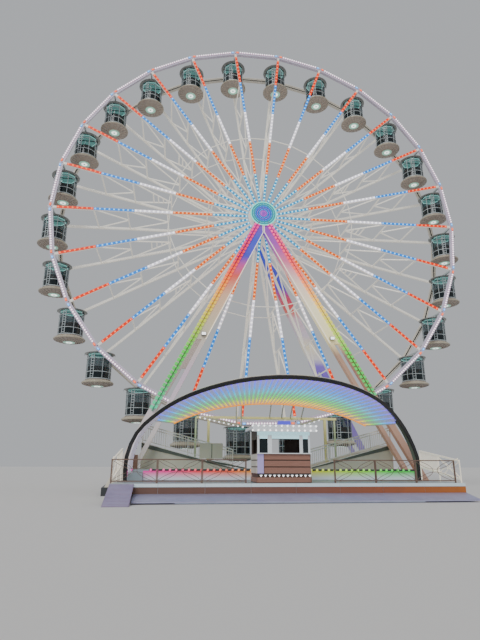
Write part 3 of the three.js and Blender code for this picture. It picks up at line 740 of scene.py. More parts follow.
def grow(mesh, tree, finish, **values):
    """Runs a tree on a mesh and gives its result as a plain mesh."""
    holder = add_object("grown", mesh)
    modifier = holder.modifiers.new("grow", "NODES")
    modifier.node_group = TREES[tree]
    values["Material"] = MATERIALS[finish]
    for socket in TREES[tree].interface.items_tree:
        if socket.in_out == "INPUT" and socket.name in values:
            modifier[socket.identifier] = values[socket.name]
    result = plain_mesh(holder)
    bpy.data.meshes.remove(mesh)
    if not result.polygons:
        raise RuntimeError(f"the tree {tree} made nothing in {finish}")
    return result


def line_mesh(lines):
    """A mesh of edges only, one chain for each line."""
    points, edges = [], []
    for line in lines:
        edges += [(len(points) + i, len(points) + i + 1) for i in range(len(line) - 1)]
        points += [tuple(point) for point in line]
    mesh = bpy.data.meshes.new("lines")
    mesh.from_pydata(points, edges, [])
    return mesh


def bars(lines, width, finish, height=None):
    """A bar along each line, as high as it is wide unless a height is given."""
    return grow(line_mesh(lines), "bars", finish, Width=width, Height=height or width)


def tubes(lines, radius, finish):
    """A round tube along each line."""
    return grow(line_mesh(lines), "tubes", finish, Radius=radius, Sides=TUBE_SIDES)


def lamps(lines, spacing, radius, finish):
    """Lamps along each line; a line shorter than the spacing carries one at its end."""
    return grow(line_mesh(lines), "lamps", finish, Spacing=spacing, Radius=radius)


def around(mesh, finish, count, first, step, axis, centre):
    """Copies of a mesh turned about an axis, the first at one angle and the rest at steps."""
    turns = {"Count": count, "First": first, "Step": step}
    return grow(mesh, "around", finish, **turns, Axis=axis, Centre=centre)


def round_wheel(mesh, finish, count=SPOKES, first=FIRST, step=STEP):
    """Copies of what is drawn along +X from the wheel's middle, one at each spoke."""
    return around(mesh, finish, count, first, step, (0.0, -1.0, 0.0), (0.0, 0.0, HUB))


def round_upright(mesh, finish, count, first=0.0):
    """Copies about the Z axis of what is drawn on the +X side."""
    step = math.tau / count
    return around(mesh, finish, count, first, step, (0.0, 0.0, 1.0), (0.0, 0.0, 0.0))


# Shapes made point by point


class Shape:
    """Closed solids gathered into one mesh; each face keeps its finish."""

    def __init__(self):
        self.points, self.faces, self.finishes = [], [], []

    def face(self, corners, finish):
        """One face on points that are already there."""
        self.faces.append(tuple(corners))
        self.finishes.append(finish)

    def loft(self, rings, finish, closed=False):
        """Joins each ring of points to the next, and caps the ends unless it closes up."""
        start, count = len(self.points), len(rings[0])
        for ring in rings:
            self.points.extend(tuple(point) for point in ring)
        for span in range(len(rings) if closed else len(rings) - 1):
            near = start + span * count
            far = start + (span + 1) % len(rings) * count
            for i in range(count):
                j = (i + 1) % count
                self.face((near + i, near + j, far + j, far + i), finish)
        if not closed:
            self.face(range(start + count - 1, start - 1, -1), finish)
            self.face(range(start + (len(rings) - 1) * count, start + len(rings) * count), finish)
        return self

    def box(self, low, high, finish):
        """A box between its lowest and its highest corner."""
        (x0, y0, z0), (x1, y1, z1) = low, high
        rings = [[(x0, y0, z), (x1, y0, z), (x1, y1, z), (x0, y1, z)] for z in (z0, z1)]
        return self.loft(rings, finish)

    def plate(self, outline, axis, low, high, finish):
        """An outline in the two other axes, given thickness along one."""
        place = {
            "X": lambda u, v, t: (t, u, v),
            "Y": lambda u, v, t: (u, t, v),
            "Z": lambda u, v, t: (u, v, t),
        }[axis]
        return self.loft([[place(u, v, t) for u, v in outline] for t in (low, high)], finish)

    def turned(self, profile, finish, sides=24, axis="Z", centre=(0, 0, 0), closed=False):
        """A profile of (radius, height) turned about an axis."""
        rings = []
        for radius, height in profile:
            radius = max(radius, 0.002)
            ring = []
            for i in range(sides):
                a = math.tau * (i + 0.5) / sides
                u, v = radius * math.cos(a), radius * math.sin(a)
                ring.append((u, v, height) if axis == "Z" else (u, height, v))
            rings.append([tuple(c + p for c, p in zip(centre, point)) for point in ring])
        return self.loft(rings, finish, closed)

    def mesh(self):
        """The solids as one mesh, with a material for each finish."""
        made = bpy.data.meshes.new("shape")
        made.from_pydata(self.points, [], self.faces)
        used = list(dict.fromkeys(self.finishes))
        for finish in used:
            made.materials.append(MATERIALS[finish])
        for polygon, finish in zip(made.polygons, self.finishes):
            polygon.material_index = used.index(finish)
        return made


def gather(meshes):
    """One mesh out of several, with their materials and with all faces turned outwards."""
    whole, used = bmesh.new(), []
    for mesh in meshes:
        part = mesh.copy()
        slots = []
        for paint in part.materials:
            if paint not in used:
                used.append(paint)
            slots.append(used.index(paint))
        for polygon in part.polygons:
            polygon.material_index = slots[polygon.material_index] if slots else 0
        whole.from_mesh(part)
        bpy.data.meshes.remove(part)
    bmesh.ops.recalc_face_normals(whole, faces=whole.faces)
    made = bpy.data.meshes.new("gathered")
    whole.to_mesh(made)
    whole.free()
    for paint in used:
        made.materials.append(paint)
    return made


def piece(name, meshes, body, slot, replaces=()):
    """The meshes as one finished piece that rides on a body; the meshes are used up."""
    mesh = gather(meshes)
    for given in meshes:
        bpy.data.meshes.remove(given)
    return finished(name, mesh, body, slot, replaces)


def finished(name, mesh, body, slot, replaces=()):
    """A mesh as a finished piece, smooth but for its sharp edges."""
    mesh.name = name
    mesh.polygons.foreach_set("use_smooth", [True] * len(mesh.polygons))
    mesh.set_sharp_from_angle(angle=SMOOTH_UP_TO)
    made = add_object(name, mesh)
    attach(made, body)
    if replaces:
        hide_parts(*replaces)
    return made


def repaint(finish, *nodes):
    """Gives carried-over CAD nodes their finish."""
    for name in nodes:
        mesh = NODES[name].data
        mesh.materials.clear()
        mesh.materials.append(MATERIALS[finish])


# Properties


def length(name, text, default):
    """A size in metres that a user may change."""
    return bpy.props.FloatProperty(
        name=name, description=text, default=default, min=0.0, subtype="DISTANCE", unit="LENGTH"
    )


def colour(name, text, code):
    """A colour that a user may change."""
    return bpy.props.FloatVectorProperty(
        name=name, description=text, default=linear(code)[:3], subtype="COLOR", min=0.0, max=1.0
    )


class WheelSizes(bpy.types.PropertyGroup):
    lamp_spacing: length("Lamp spacing", "Between the diodes along a spoke", 0.27)
    lamp_radius: length("Lamp radius", "Of one diode", 0.068)
    strip_width: length("Strip width", "Of the light strip on a spoke", 0.17)
    rim_spacing: length("Rim lamp spacing", "Between the diodes along the rim", 0.17)
    brace_width: length("Brace width", "Of the lattice bars in a spoke", 0.07)


class CabinSizes(bpy.types.PropertyGroup):
    glass_radius: length("Glass radius", "Of the round window band", 0.75)
    skirt_radius: length("Skirt radius", "Of the widest part of the floor pan", 0.955)
    brim_radius: length("Brim radius", "Of the roof's edge", 0.93)
    posts: bpy.props.IntProperty(name="Posts", description="Round the glass", default=9, min=6)


class CanopySizes(bpy.types.PropertyGroup):
    stripes: bpy.props.IntProperty(name="Light strips", description="Under the cloth", default=47)
    strip_width: length("Strip width", "Of one light strip", 0.06)


class StageSettings(bpy.types.PropertyGroup):
    floor_colour: colour("Floor", "Colour of the floor", "#d9d7d4")
    sky_colour: colour("Background", "Colour of the studio light from all round", "#cfd2d6")


# Operators


class BuildOperator:
    """What all the operators have in common."""

    bl_options = {"REGISTER", "UNDO"}

    def execute(self, context):
        self.build(context.scene)
        return {"FINISHED"}


def add_world(scene, code):
    """Even studio light from all round."""
    world = bpy.data.worlds.new("Studio")
    world.use_nodes = True
    back = world.node_tree.nodes["Background"]
    back.inputs["Color"].default_value = (*code, 1.0)
    back.inputs["Strength"].default_value = SKY_STRENGTH
    scene.world = world


def add_floor(code):
    """A plain floor just below the wheel, wide enough to reach the horizon."""
    mesh = bpy.data.meshes.new("floor")
    half, level = FLOOR_HALF, FLOOR_LEVEL
    corners = [(-half, -half, level), (half, -half, level), (half, half, level), (-half, half, level)]
    mesh.from_pydata(corners, [], [(0, 1, 2, 3)])
    floor = add_object("floor", mesh)
    paint = Finish("Pale matt floor", 0.9)
    paint.shader.inputs["Base Color"].default_value = (*code, 1.0)
    mesh.materials.append(paint.material)


def add_sun():
    """A large soft light from high on the front left."""
    light = bpy.data.lights.new("key", "SUN")
    light.energy, light.angle = SUN_STRENGTH, SUN_SOFTNESS
    add_object("key", light).rotation_euler = SUN_TURN


def add_camera(scene):
    """The photograph's camera, turned by its yaw, its pitch and its roll."""
    yaw, pitch, roll = CAMERA_YAW, CAMERA_PITCH, CAMERA_ROLL
    ahead = Vector((math.sin(yaw) * math.cos(pitch), math.cos(yaw) * math.cos(pitch), math.sin(pitch)))
    level_right = Vector((math.cos(yaw), -math.sin(yaw), 0))
    level_up = level_right.cross(ahead)
    right = math.cos(roll) * level_right + math.sin(roll) * level_up
    up = -math.sin(roll) * level_right + math.cos(roll) * level_up
    turn = Matrix((right, up, -ahead)).transposed().to_4x4()
    camera = add_object("camera", bpy.data.cameras.new("camera"))
    camera.matrix_world = Matrix.Translation(CAMERA_PLACE) @ turn
    camera.data.lens, camera.data.sensor_width = CAMERA_LENS, CAMERA_SENSOR
    camera.data.clip_end = CAMERA_REACH
    scene.camera = camera


class DRESS_OT_stage(BuildOperator, bpy.types.Operator):
    """Makes the floor, the studio light and the camera"""

    bl_idname = "dress.stage"
    bl_label = "Stage"

    def build(self, scene):
        add_world(scene, scene.dress_stage.sky_colour)
        add_floor(scene.dress_stage.floor_colour)
        add_sun()
        add_camera(scene)


class DRESS_OT_steelwork(BuildOperator, bpy.types.Operator):
    """Paints the carried-over steelwork and decks"""

    bl_idname = "dress.steelwork"
    bl_label = "Steelwork"

    def build(self, scene):
        repaint("hub", "main_axle", "hub_barrel")
        repaint("chord", "spoke_fan_left", "spoke_fan_right", "front_tie_ring", "rear_tie_ring")
        repaint("rim", "front_rim")
        repaint("rear_rim", "rear_rim")
        repaint("dark", "ground_beam_left", "ground_beam_right", "ground_beam_cross")
        repaint("deck", "front_deck", "upper_deck")
        repaint("apron", "front_apron")
        repaint("ramp", "entry_ramp")
        repaint("cream", "loading_deck_left", "loading_deck_right")
        repaint("fence", "front_fence_left", "front_fence_right")
        repaint("side_rail", "side_rail_left", "side_rail_right")
        repaint("rail", "loading_rail_left", "loading_rail_right")
        repaint("booth", "booth_walls")
        repaint("gloss", "booth_roof")
        repaint("black", "canopy_arch")
        repaint("lit_post", "portal_frame")


class DRESS_OT_lattice(BuildOperator, bpy.types.Operator):
    """Adds the bracing inside each spoke"""

    bl_idname = "dress.lattice"
    bl_label = "Spoke lattice"

    def build(self, scene):
        width = scene.dress_wheel.brace_width
        reach = CHORD_Y - 0.04
        hub_end = 1.5
        # A pair of braces runs out from the middle of each rung to the chords at the next.
        knees = []
        for low, high in zip(RUNGS, RUNGS[1:]):
            for side in (-reach, reach):
                knees.append([(low + 0.03, 0.02 * side, 0), (high - 0.04, side, 0)])
        for side in (-reach, reach):
            knees.append([(hub_end, side, 0), (RUNGS[0] - 0.04, 0.02 * side, 0)])
        # Every other spoke has a ladder of short bars between two of its diagonals.
        low, high = RUNGS[1], RUNGS[2]
        ladder = []
        for share in (0.52, 0.65, 0.78, 0.88):
            middle = high - (high - low) * share
            ladder.append([(middle, -reach * (1 - share), 0), (middle, reach * (1 - share), 0)])
        parts = [
            round_wheel(bars(knees, width, "brace"), "brace"),
            round_wheel(bars(ladder, width, "brace"), "brace", SPOKES // 2, FIRST + STEP, 2 * STEP),
        ]
        piece("spoke_lattice", parts, "wheel", "spoke_white")


class DRESS_OT_spoke_lamps(BuildOperator, bpy.types.Operator):
    """Adds the coloured light strips along the front chords"""

    bl_idname = "dress.spoke_lamps"
    bl_label = "Spoke lamps"

    def build(self, scene):
        sizes = scene.dress_wheel
        half = sizes.strip_width / 2
        front = CHORD_FACE - 0.02
        for name, (start, stop) in SPOKE_RUNS.items():
            low, high = start + 0.01, stop - 0.01
            strip = Shape().box((low, front, -half), (high, CHORD_FACE, half), name).mesh()
            line = [(low + 0.1, front - 0.002, 0), (high - 0.1, front - 0.002, 0)]
            dots = lamps([line], sizes.lamp_spacing, sizes.lamp_radius, "dot_" + name)
            parts = [round_wheel(strip, name), round_wheel(dots, "dot_" + name)]
            piece(f"spoke_lamps_{name}", parts, "wheel", "light_panel")


def rim_side(radius, low, high, y):
    """A stretch of one side of a rim's polygon, as shares of its length."""
    a = Vector((radius, y, 0))
    b = Vector((radius * math.cos(STEP), y, radius * math.sin(STEP)))
    return [a.lerp(b, low), a.lerp(b, high)]


class DRESS_OT_rim_lamps(BuildOperator, bpy.types.Operator):
    """Adds the light strips of the front rim, and the second tube of both rims"""

    bl_idname = "dress.rim_lamps"
    bl_label = "Rim lamps"

    def build(self, scene):
        sizes = scene.dress_wheel
        face = RIM_FRONT - 0.012
        parts = []
        for finish, dot, low, high in (
            ("pink", "dot_cool", 0.1, 0.9),
            ("blue", "dot_blue", 0.025, 0.085),
            ("red", "dot_red", 0.915, 0.975),
        ):
            line = rim_side(LAMP_CIRCLE, low, high, face)
            parts.append(round_wheel(bars([line], 0.024, finish, 0.12), finish))
            line = rim_side(LAMP_CIRCLE, low + 0.02, high - 0.02, face - 0.014)
            dots = lamps([line], sizes.rim_spacing, 0.058, dot)
            parts.append(round_wheel(dots, dot))
        piece("rim_lamps", parts, "wheel", "light_panel")
        # A second tube runs on the inner side of each rim, on short struts.
        for name, y, rim_y, finish, slot in (
            ("front_rim_tube", -1.07, -1.26, "rim", "rim_white"),
            ("rear_rim_tube", 1.07, 1.26, "rear_rim", "rim_grey"),
        ):
            middle = rim_side(TUBE_CIRCLE, 0.0, 1.0, y)
            struts = []
            for share in (0.0, 0.25, 0.5, 0.75):
                at = rim_side(TUBE_CIRCLE, share, 1.0, y)[0]
                struts.append([at, (at.x, rim_y, at.z)])
            parts = [
                round_wheel(bars([middle], 0.07, finish), finish),
                round_wheel(bars(struts, 0.05, finish), finish),
            ]
            piece(name, parts, "wheel", slot)
        # The rear rim is seen from inside as two pale tubes with a shadow gap between them; the gap is drawn
        # as a thin bar of chassis grey paint, which is painted shade.
        parts = []
        for radius, y, width, finish, height in (
            (13.9, 1.25, 0.075, "rear_rim", 0.075),
            (14.08, 1.25, 0.075, "rear_rim", 0.075),
            (13.99, 1.255, 0.008, "dark", 0.11),
        ):
            line = rim_side(radius, 0.0, 1.0, y)
            parts.append(round_wheel(bars([line], width, finish, height), finish))
        piece("rear_rim_lines", parts, "wheel", "rim_grey")


class DRESS_OT_hub(BuildOperator, bpy.types.Operator):
    """Makes the lit disc in the middle of the wheel"""

    bl_idname = "dress.hub"
    bl_label = "Hub light"

    def build(self, scene):
        shape = Shape()
        centre, face = (0, 0, HUB), DISC_FACE
        disc = [(DISC_RADIUS, DISC_BACK), (DISC_RADIUS, face), (0, face)]
        shape.turned(disc, "gloss", DISC_SIDES, "Y", centre)
        for inner, outer, depth, finish in (
            (0.83, DISC_RADIUS, 0.015, "mint"),
            (0.6, 0.825, 0.01, "teal"),
            (0.5, 0.595, 0.015, "azure"),
            (0.26, 0.495, 0.01, "azure"),
        ):
            ring = [(inner, face), (outer, face), (outer, face - depth), (inner, face - depth)]
            shape.turned(ring, finish, DISC_SIDES, "Y", centre, True)
        boss = [(0.255, face), (0.24, face - 0.012), (0, face - 0.014)]
        shape.turned(boss, "violet", 40, "Y", centre)
        shape.box((-0.3, DISC_BACK, HUB - 0.3), (0.3, -1.7805, HUB + 0.3), "hub")
        dots = []
        for radius, count, finish in (
            (0.86, 52, "dot_cyan"),
            (0.71, 40, "dot_cyan"),
            (0.55, 32, "dot_blue"),
            (0.42, 24, "magenta"),
            (0.3, 18, "dot_blue"),
            (0.16, 10, "magenta"),
        ):
            line = [(radius, face - 0.012, 0), (radius + 0.001, face - 0.012, 0)]
            spot = lamps([line], 1.0, 0.02, finish)
            dots.append(round_wheel(spot, finish, count, 0.0, math.tau / count))
        piece("hub_disc", [shape.mesh(), *dots], "base", "light_panel", ["hub_light"])


def add_shells(shape, glass, skirt, brim):
    """The floor pan, the ribbed shoulder over its edge, and the roof."""
    # A shallow cone below, a rolled edge, and a slope up to the glass.
    pan = [
        (0.0, -2.27),
        (0.40, -2.27),
        (skirt - 0.03, -2.145),
        (skirt, -2.12),
        (skirt, -2.06),
        (skirt - 0.05, -2.02),
        (glass + 0.02, -1.95),
        (glass + 0.02, CABIN_FLOOR),
        (0.0, CABIN_FLOOR),
    ]
    shape.turned(pan, "pan", CABIN_SIDES)
    shoulder = [
        (skirt + 0.004, -2.125),
        (skirt + 0.02, -2.105),
        (skirt + 0.02, -2.06),
        (skirt - 0.04, -2.012),
        (glass + 0.03, -1.94),
        (glass + 0.02, -1.955),
        (skirt - 0.05, -2.025),
    ]
    shape.turned(shoulder, "shell", CABIN_SIDES, closed=True)
    roof = [
        (0.0, -0.29),
        (brim - 0.1, -0.285),
        (brim, -0.262),
        (brim, -0.235),
        (0.78, -0.19),
        (0.5, -0.15),
        (0.2, -0.132),
        (0.0, -0.13),
    ]
    shape.turned(roof, "roof", CABIN_SIDES)


def add_cabin_lights(shape):
    """The lamp of the underside, and the lit panel of the ceiling with its bright rim."""
    # A mint halo, a white ring and a grey cap in the middle.
    for inner, outer, low, finish in (
        (0.21, 0.37, -2.276, "halo"),
        (0.07, 0.205, -2.284, "cool_glow"),
        (0.0, 0.065, -2.288, "cap"),
    ):
        disc = [(inner, -2.268), (outer, -2.268), (outer - 0.01, low), (inner, low)]
        shape.turned(disc, finish, closed=True)
    corners = [math.tau * (i + 0.5) / 8 for i in range(8)]
    panel = [(0.7 * math.cos(a), 0.7 * math.sin(a)) for a in corners]
    shape.plate(panel, "Z", -0.315, -0.289, "ceiling")
    for i in range(8):
        a, b = Vector(panel[i]), Vector(panel[(i + 1) % 8])
        shape.plate([a, b, b * 0.93, a * 0.93], "Z", -0.335, -0.316, "ceiling_ring")


def add_cabin_fittings(shape, glass, brim):
    """Crossbar, hooks, window bands, seats, table, pin with its hanger, and glazing."""
    shape.box((-0.68, -0.03, -0.35), (0.68, 0.03, EAVES), "dark")
    for side in (-1, 1):
        hook = [(-0.02, -0.25), (0.03, -0.25), (0.03, -0.37), (0.005, -0.37), (0.005, -0.29), (-0.02, -0.29)]
        hook = [(side * (brim + out), z) for out, z in hook]
        shape.plate(hook, "Y", -0.02, 0.02, "frame")
    for level, wide in ((-0.6, 0.025), (-1.45, 0.035), (-1.88, 0.05)):
        inner, outer = glass - 0.01, glass + 0.022
        band = [(inner, level), (outer, level), (outer, level + wide), (inner, level + wide)]
        shape.turned(band, "frame", CABIN_SIDES, closed=True)
    seat = [(0.38, CABIN_FLOOR), (0.38, -1.52), (0.7, -1.5), (0.7, CABIN_FLOOR)]
    shape.turned(seat, "seat", closed=True)
    back = [(0.64, -1.5), (0.62, -1.12), (0.68, -1.1), (0.71, -1.5)]
    shape.turned(back, "seat", closed=True)
    table = [(0.05, CABIN_FLOOR), (0.05, -1.2), (0.19, -1.18), (0.19, -1.15), (0.0, -1.14)]
    shape.turned(table, "frame", 16)
    for y in (-0.48, 0.48):
        shape.box((-0.09, y - 0.03, -0.16), (0.09, y + 0.03, 0.02), "frame")
    shape.turned([(0.036, -1.355), (0.036, 1.355)], "hub", 12, "Y")
    for y in (-1.2, 1.2):
        shape.turned([(0.075, y - 0.05), (0.075, y + 0.05)], "hub", 16, "Y")
    shape.box((-0.05, -1.14, -0.06), (0.05, 1.14, 0.05), "frame")
    for low, high, finish in ((-1.86, -1.45, "dark_glass"), (-1.41, EAVES, "glass")):
        pane = [(glass - 0.004, low), (glass + 0.004, low), (glass + 0.004, high), (glass - 0.004, high)]
        shape.turned(pane, finish, CABIN_SIDES, closed=True)


def cabin_meshes(sizes):
    """One cabin about its pin, as meshes of its parts."""
    glass, skirt, brim = sizes.glass_radius, sizes.skirt_radius, sizes.brim_radius
    shape = Shape()
    add_shells(shape, glass, skirt, brim)
    add_cabin_lights(shape)
    add_cabin_fittings(shape, glass, brim)
    post = bars([[(glass + 0.012, 0, POST_FOOT), (glass + 0.012, 0, EAVES)]], 0.03, "frame")
    rib = bars([[(0.42, 0, -2.272), (skirt - 0.03, 0, -2.15)]], 0.03, "pan")
    shoulder = bars([[(skirt - 0.04, 0, -2.02), (glass + 0.03, 0, -1.945)]], 0.03, "shell")
    parts = [
        shape.mesh(),
        round_upright(post, "frame", sizes.posts, math.radians(15)),
        round_upright(rib, "pan", 20),
        round_upright(shoulder, "shell", 20),
    ]
    # Two narrow grilles of close rungs stand on opposite sides of the glass.
    out = glass + 0.03
    for middle in (-112, 68):
        edges = []
        for turn in (-7, 7):
            a = math.radians(middle + turn)
            edges.append((out * math.cos(a), out * math.sin(a)))
        levels = [-1.75 + 0.16 * i for i in range(9)]
        rungs = [[(*edge, z) for edge in edges] for z in levels]
        rungs += [[(*edge, POST_FOOT), (*edge, EAVES)] for edge in edges]
        parts.append(bars(rungs, 0.028, "frame"))
    return parts


class DRESS_OT_cabins(BuildOperator, bpy.types.Operator):
    """Makes the 26 cabins"""

    bl_idname = "dress.cabins"
    bl_label = "Cabins"

    def build(self, scene):
        pattern = gather(cabin_meshes(scene.dress_cabin))
        for index, name in enumerate(CABINS):
            angle = FIRST + index * STEP
            place = (PIN_CIRCLE * math.cos(angle), 0, HUB + PIN_CIRCLE * math.sin(angle))
            mesh = pattern.copy()
            mesh.transform(Matrix.Translation(place))
            finished(f"{name}_gondola", mesh, name, "cabin_shell", [name])
        bpy.data.meshes.remove(pattern)


def leg_point(side, across, z, proud=0.0, inset=0.0):
    """A point on a front leg's face, from its near edge (0) to its far edge (1)."""
    share = (LEG_HIGH - z) / (LEG_HIGH - LEG_LOW)
    lean = max(0.0, (LEG_CROTCH - z) / (LEG_CROTCH - LEG_LOW))
    near = LEG_NEAR[0] + (LEG_NEAR[1] - LEG_NEAR[0]) * lean
    far = LEG_FAR[0] + (LEG_FAR[1] - LEG_FAR[0]) * share
    face = LEG_FACE[0] + (LEG_FACE[1] - LEG_FACE[0]) * share
    return Vector((side * (near + (far - near) * across + inset), -face - proud, z))


def leg_lamps(side, foot):
    """Two rows of diodes along a leg's far edge, on one wide strip."""
    length, pitch = 0.15, 0.25
    dashes = []
    for inset in (-0.08, -0.32):
        z = LIGHTS_TOP - 0.1
        while z > foot:
            dashes.append([leg_point(side, 1.0, at, 0.03, inset) for at in (z, z - length)])
            z -= pitch
    low = foot - 0.1
    levels = [LIGHTS_TOP + (low - LIGHTS_TOP) * step / 12 for step in range(13)]
    strip = [leg_point(side, 1.0, z, 0.012, -0.2) for z in levels]
    return [bars(dashes, 0.13, "leg_diodes"), bars([strip], 0.38, "leg_strip", 0.02)]


def leg_trim(side):
    """A light tube along a leg's near edge down to the fork, and a floodlight above the fork."""
    line = [leg_point(side, 0.0, z, 0.015, 0.03) for z in (LEG_HIGH - 0.1, LEG_CROTCH, LEG_FORK)]
    at = leg_point(side, 0.3, LEG_FORK + 0.3)
    lamp = Shape()
    for low, high, finish in (
        ((-0.14, -0.2, -0.1), (0.14, -0.04, 0.1), "dark"),
        ((-0.12, -0.215, -0.08), (0.12, -0.2, 0.08), "dot_cool"),
        ((-0.03, -0.05, -0.03), (0.03, 0.02, 0.03), "dark"),
    ):
        lamp.box(at + Vector(low), at + Vector(high), finish)
    return [bars([line], 0.045, "edge_light"), lamp.mesh()]


class DRESS_OT_legs(BuildOperator, bpy.types.Operator):
    """Paints the legs and adds their rows of lamps and floodlights"""

    bl_idname = "dress.legs"
    bl_label = "Legs"

    def build(self, scene):
        for node in ("leg_front_left", "leg_front_right", "leg_rear_left", "leg_rear_right"):
            repaint(node, node)
        for name, side, foot in (("left", -1, LEFT_LIGHTS_FOOT), ("right", 1, RIGHT_LIGHTS_FOOT)):
            piece(f"leg_lamps_{name}", leg_lamps(side, foot), "base", "light_panel")
            piece(f"leg_trim_{name}", leg_trim(side), "base", "leg_white")


def curve_point(p0, p1, p2, p3, t):
    """A point between p1 and p2 on a centripetal spline through all four."""
    d0, d1, d2 = (max((b - a).length**0.5, 1e-6) for a, b in ((p0, p1), (p1, p2), (p2, p3)))
    m1 = ((p1 - p0) / d0 - (p2 - p0) / (d0 + d1) + (p2 - p1) / d1) * d1
    m2 = ((p2 - p1) / d1 - (p3 - p1) / (d1 + d2) + (p3 - p2) / d2) * d1
    return (
        p1
        + m1 * t
        + (p1 * -3 + p2 * 3 - m1 * 2 - m2) * t**2
        + (p1 * 2 - p2 * 2 + m1 + m2) * t**3
    )


def arch_points(count):
    """Points along the arch, by the same centripetal spline as in the source."""
    right = [Vector(p) for p in ARCH_HALF]
    line = [Vector((-p.x, p.y, p.z)) for p in right] + [Vector(ARCH_CROWN)] + right[::-1]
    spans = len(line) - 1
    points = []
    for k in range(count + 1):
        place = k / count * spans
        i = min(int(place), spans - 1)
        t = place - i
        p1, p2 = line[i], line[i + 1]
        p0 = line[i - 1] if i else p1 * 2 - p2
        p3 = line[i + 2] if i + 2 <= spans else p2 * 2 - p1
        points.append(curve_point(p0, p1, p2, p3, t))
    return points


def at_x(points, x):
    """Where a line of points from left to right passes x."""
    for a, b in zip(points, points[1:]):
        if a.x <= x <= b.x:
            return a.lerp(b, (x - a.x) / (b.x - a.x) if b.x > a.x else 0.0)
    raise ValueError(f"the arch has no point at x {x}")


def cloth_edges(arch, x):
    """Where the cloth starts at the arch and ends at the rear, on its line to the apex."""
    front = at_x(arch, x)
    share = (CLOTH_REAR - CLOTH_APEX.y) / (front.y - CLOTH_APEX.y)
    return front, CLOTH_APEX.lerp(front, share)


def map_run(mesh, around_strip):
    """A UV map whose U runs from the front end of each strip to its rear end.

    around_strip is how many points of a strip lie side by side.
    """
    layer = mesh.uv_layers.new(name=RUN)
    per_strip = (CLOTH_ROWS + 1) * around_strip
    for loop in mesh.loops:
        row = (loop.vertex_index % per_strip) // around_strip
        layer.data[loop.index].uv = (row / CLOTH_ROWS, 0.5)


def cloth_mesh(arch):
    """The thickened cloth, and the area of one side of it."""
    points = []
    for i in range(CLOTH_COLUMNS + 1):
        front, rear = cloth_edges(arch, CLOTH_SPAN * (2 * i / CLOTH_COLUMNS - 1))
        ahead = (front - rear).normalized() * 0.1
        points += [(front - ahead).lerp(rear, j / CLOTH_ROWS) for j in range(CLOTH_ROWS + 1)]
    faces = []
    for i in range(CLOTH_COLUMNS):
        for j in range(CLOTH_ROWS):
            a = i * (CLOTH_ROWS + 1) + j
            faces.append((a, a + CLOTH_ROWS + 1, a + CLOTH_ROWS + 2, a + 1))
    area = 0.0
    for face in faces:
        p, q, r, s = (points[k] for k in face)
        area += ((q - p).cross(r - p).length + (r - p).cross(s - p).length) / 2
    mesh = bpy.data.meshes.new("cloth")
    mesh.from_pydata([tuple(p) for p in points], [], faces)
    map_run(mesh, 1)
    cloth = add_object("cloth", mesh)
    thick = cloth.modifiers.new("thickness", "SOLIDIFY")
    thick.thickness, thick.offset = CLOTH_THICKNESS, 0.0
    made = plain_mesh(cloth)
    bpy.data.meshes.remove(mesh)
    made.materials.append(MATERIALS["cloth"])
    return made, area


def light_strips(arch, sizes):
    """The light strips under the cloth, side by side from the arch to the rear."""
    ribs = Shape()
    beside = Vector((sizes.strip_width / 2, 0, 0))
    below, lower = Vector((0, 0, -0.01)), Vector((0, 0, -0.025))
    for i in range(sizes.stripes):
        front, rear = cloth_edges(arch, CLOTH_SPAN * 0.985 * (2 * i / (sizes.stripes - 1) - 1))
        start, stop = front.lerp(rear, 0.05), front.lerp(rear, 0.985)
        rings = []
        for j in range(CLOTH_ROWS + 1):
            p = start.lerp(stop, j / CLOTH_ROWS) + below
            rings.append([p - beside, p + beside, p + beside + lower, p - beside + lower])
        ribs.loft(rings, "rainbow")
    mesh = ribs.mesh()
    map_run(mesh, 4)
    return mesh


def piping(arch):
    """Tubes along the arch's top, the cloth's rear edge and both of its ends."""
    top = [p + Vector((0, 0, 0.1)) for p in arch if p.z > 0.9]
    shares = [2 * i / 48 - 1 for i in range(49)]
    rear = [cloth_edges(arch, CLOTH_SPAN * share)[1] + Vector((0, 0, -0.02)) for share in shares]
    ends = []
    for side in (-1, 1):
        front, back = cloth_edges(arch, side * CLOTH_SPAN)
        ends.append([front.lerp(back, 0.04), back])
    return [tubes([top], 0.022, "rail"), tubes([rear], 0.035, "amber"), tubes(ends, 0.025, "rail")]


def arch_flanges(arch):
    """Flanges with bolt heads that line the lower stretches of the arch on the inside."""
    parts = []
    for side, wide, finish, edges in ((-1, 0.34, "lining", (0.15, 0.37)), (1, 0.16, "stringer", (0.17,))):
        low = [p for p in arch if side * p.x > 6.5 and p.z > 0.78]
        middle = [p + Vector((-side * (0.09 + wide / 2), 0.0, 0.0)) for p in low]
        parts.append(bars([middle], wide, finish, 0.04))
        bolts = [[p + Vector((-side * reach, -0.025, 0.0)) for p in low] for reach in edges]
        parts.append(lamps(bolts, 0.28, 0.02, "fence"))
    return parts


class DRESS_OT_canopy(BuildOperator, bpy.types.Operator):
    """Makes the canopy's cloth, its light strips and the piping of the arch"""

    bl_idname = "dress.canopy"
    bl_label = "Canopy"

    def build(self, scene):
        arch = arch_points(ARCH_STEPS)
        mesh, area = cloth_mesh(arch)
        sheet = finished("canopy_cloth", mesh, "base", "membrane", ["canopy_membrane"])
        piece("canopy_strips", [light_strips(arch, scene.dress_canopy)], "base", "light_panel")
        piece("canopy_piping", piping(arch), "base", "portal_white")
        piece("arch_flanges", arch_flanges(arch), "base", "portal_white")


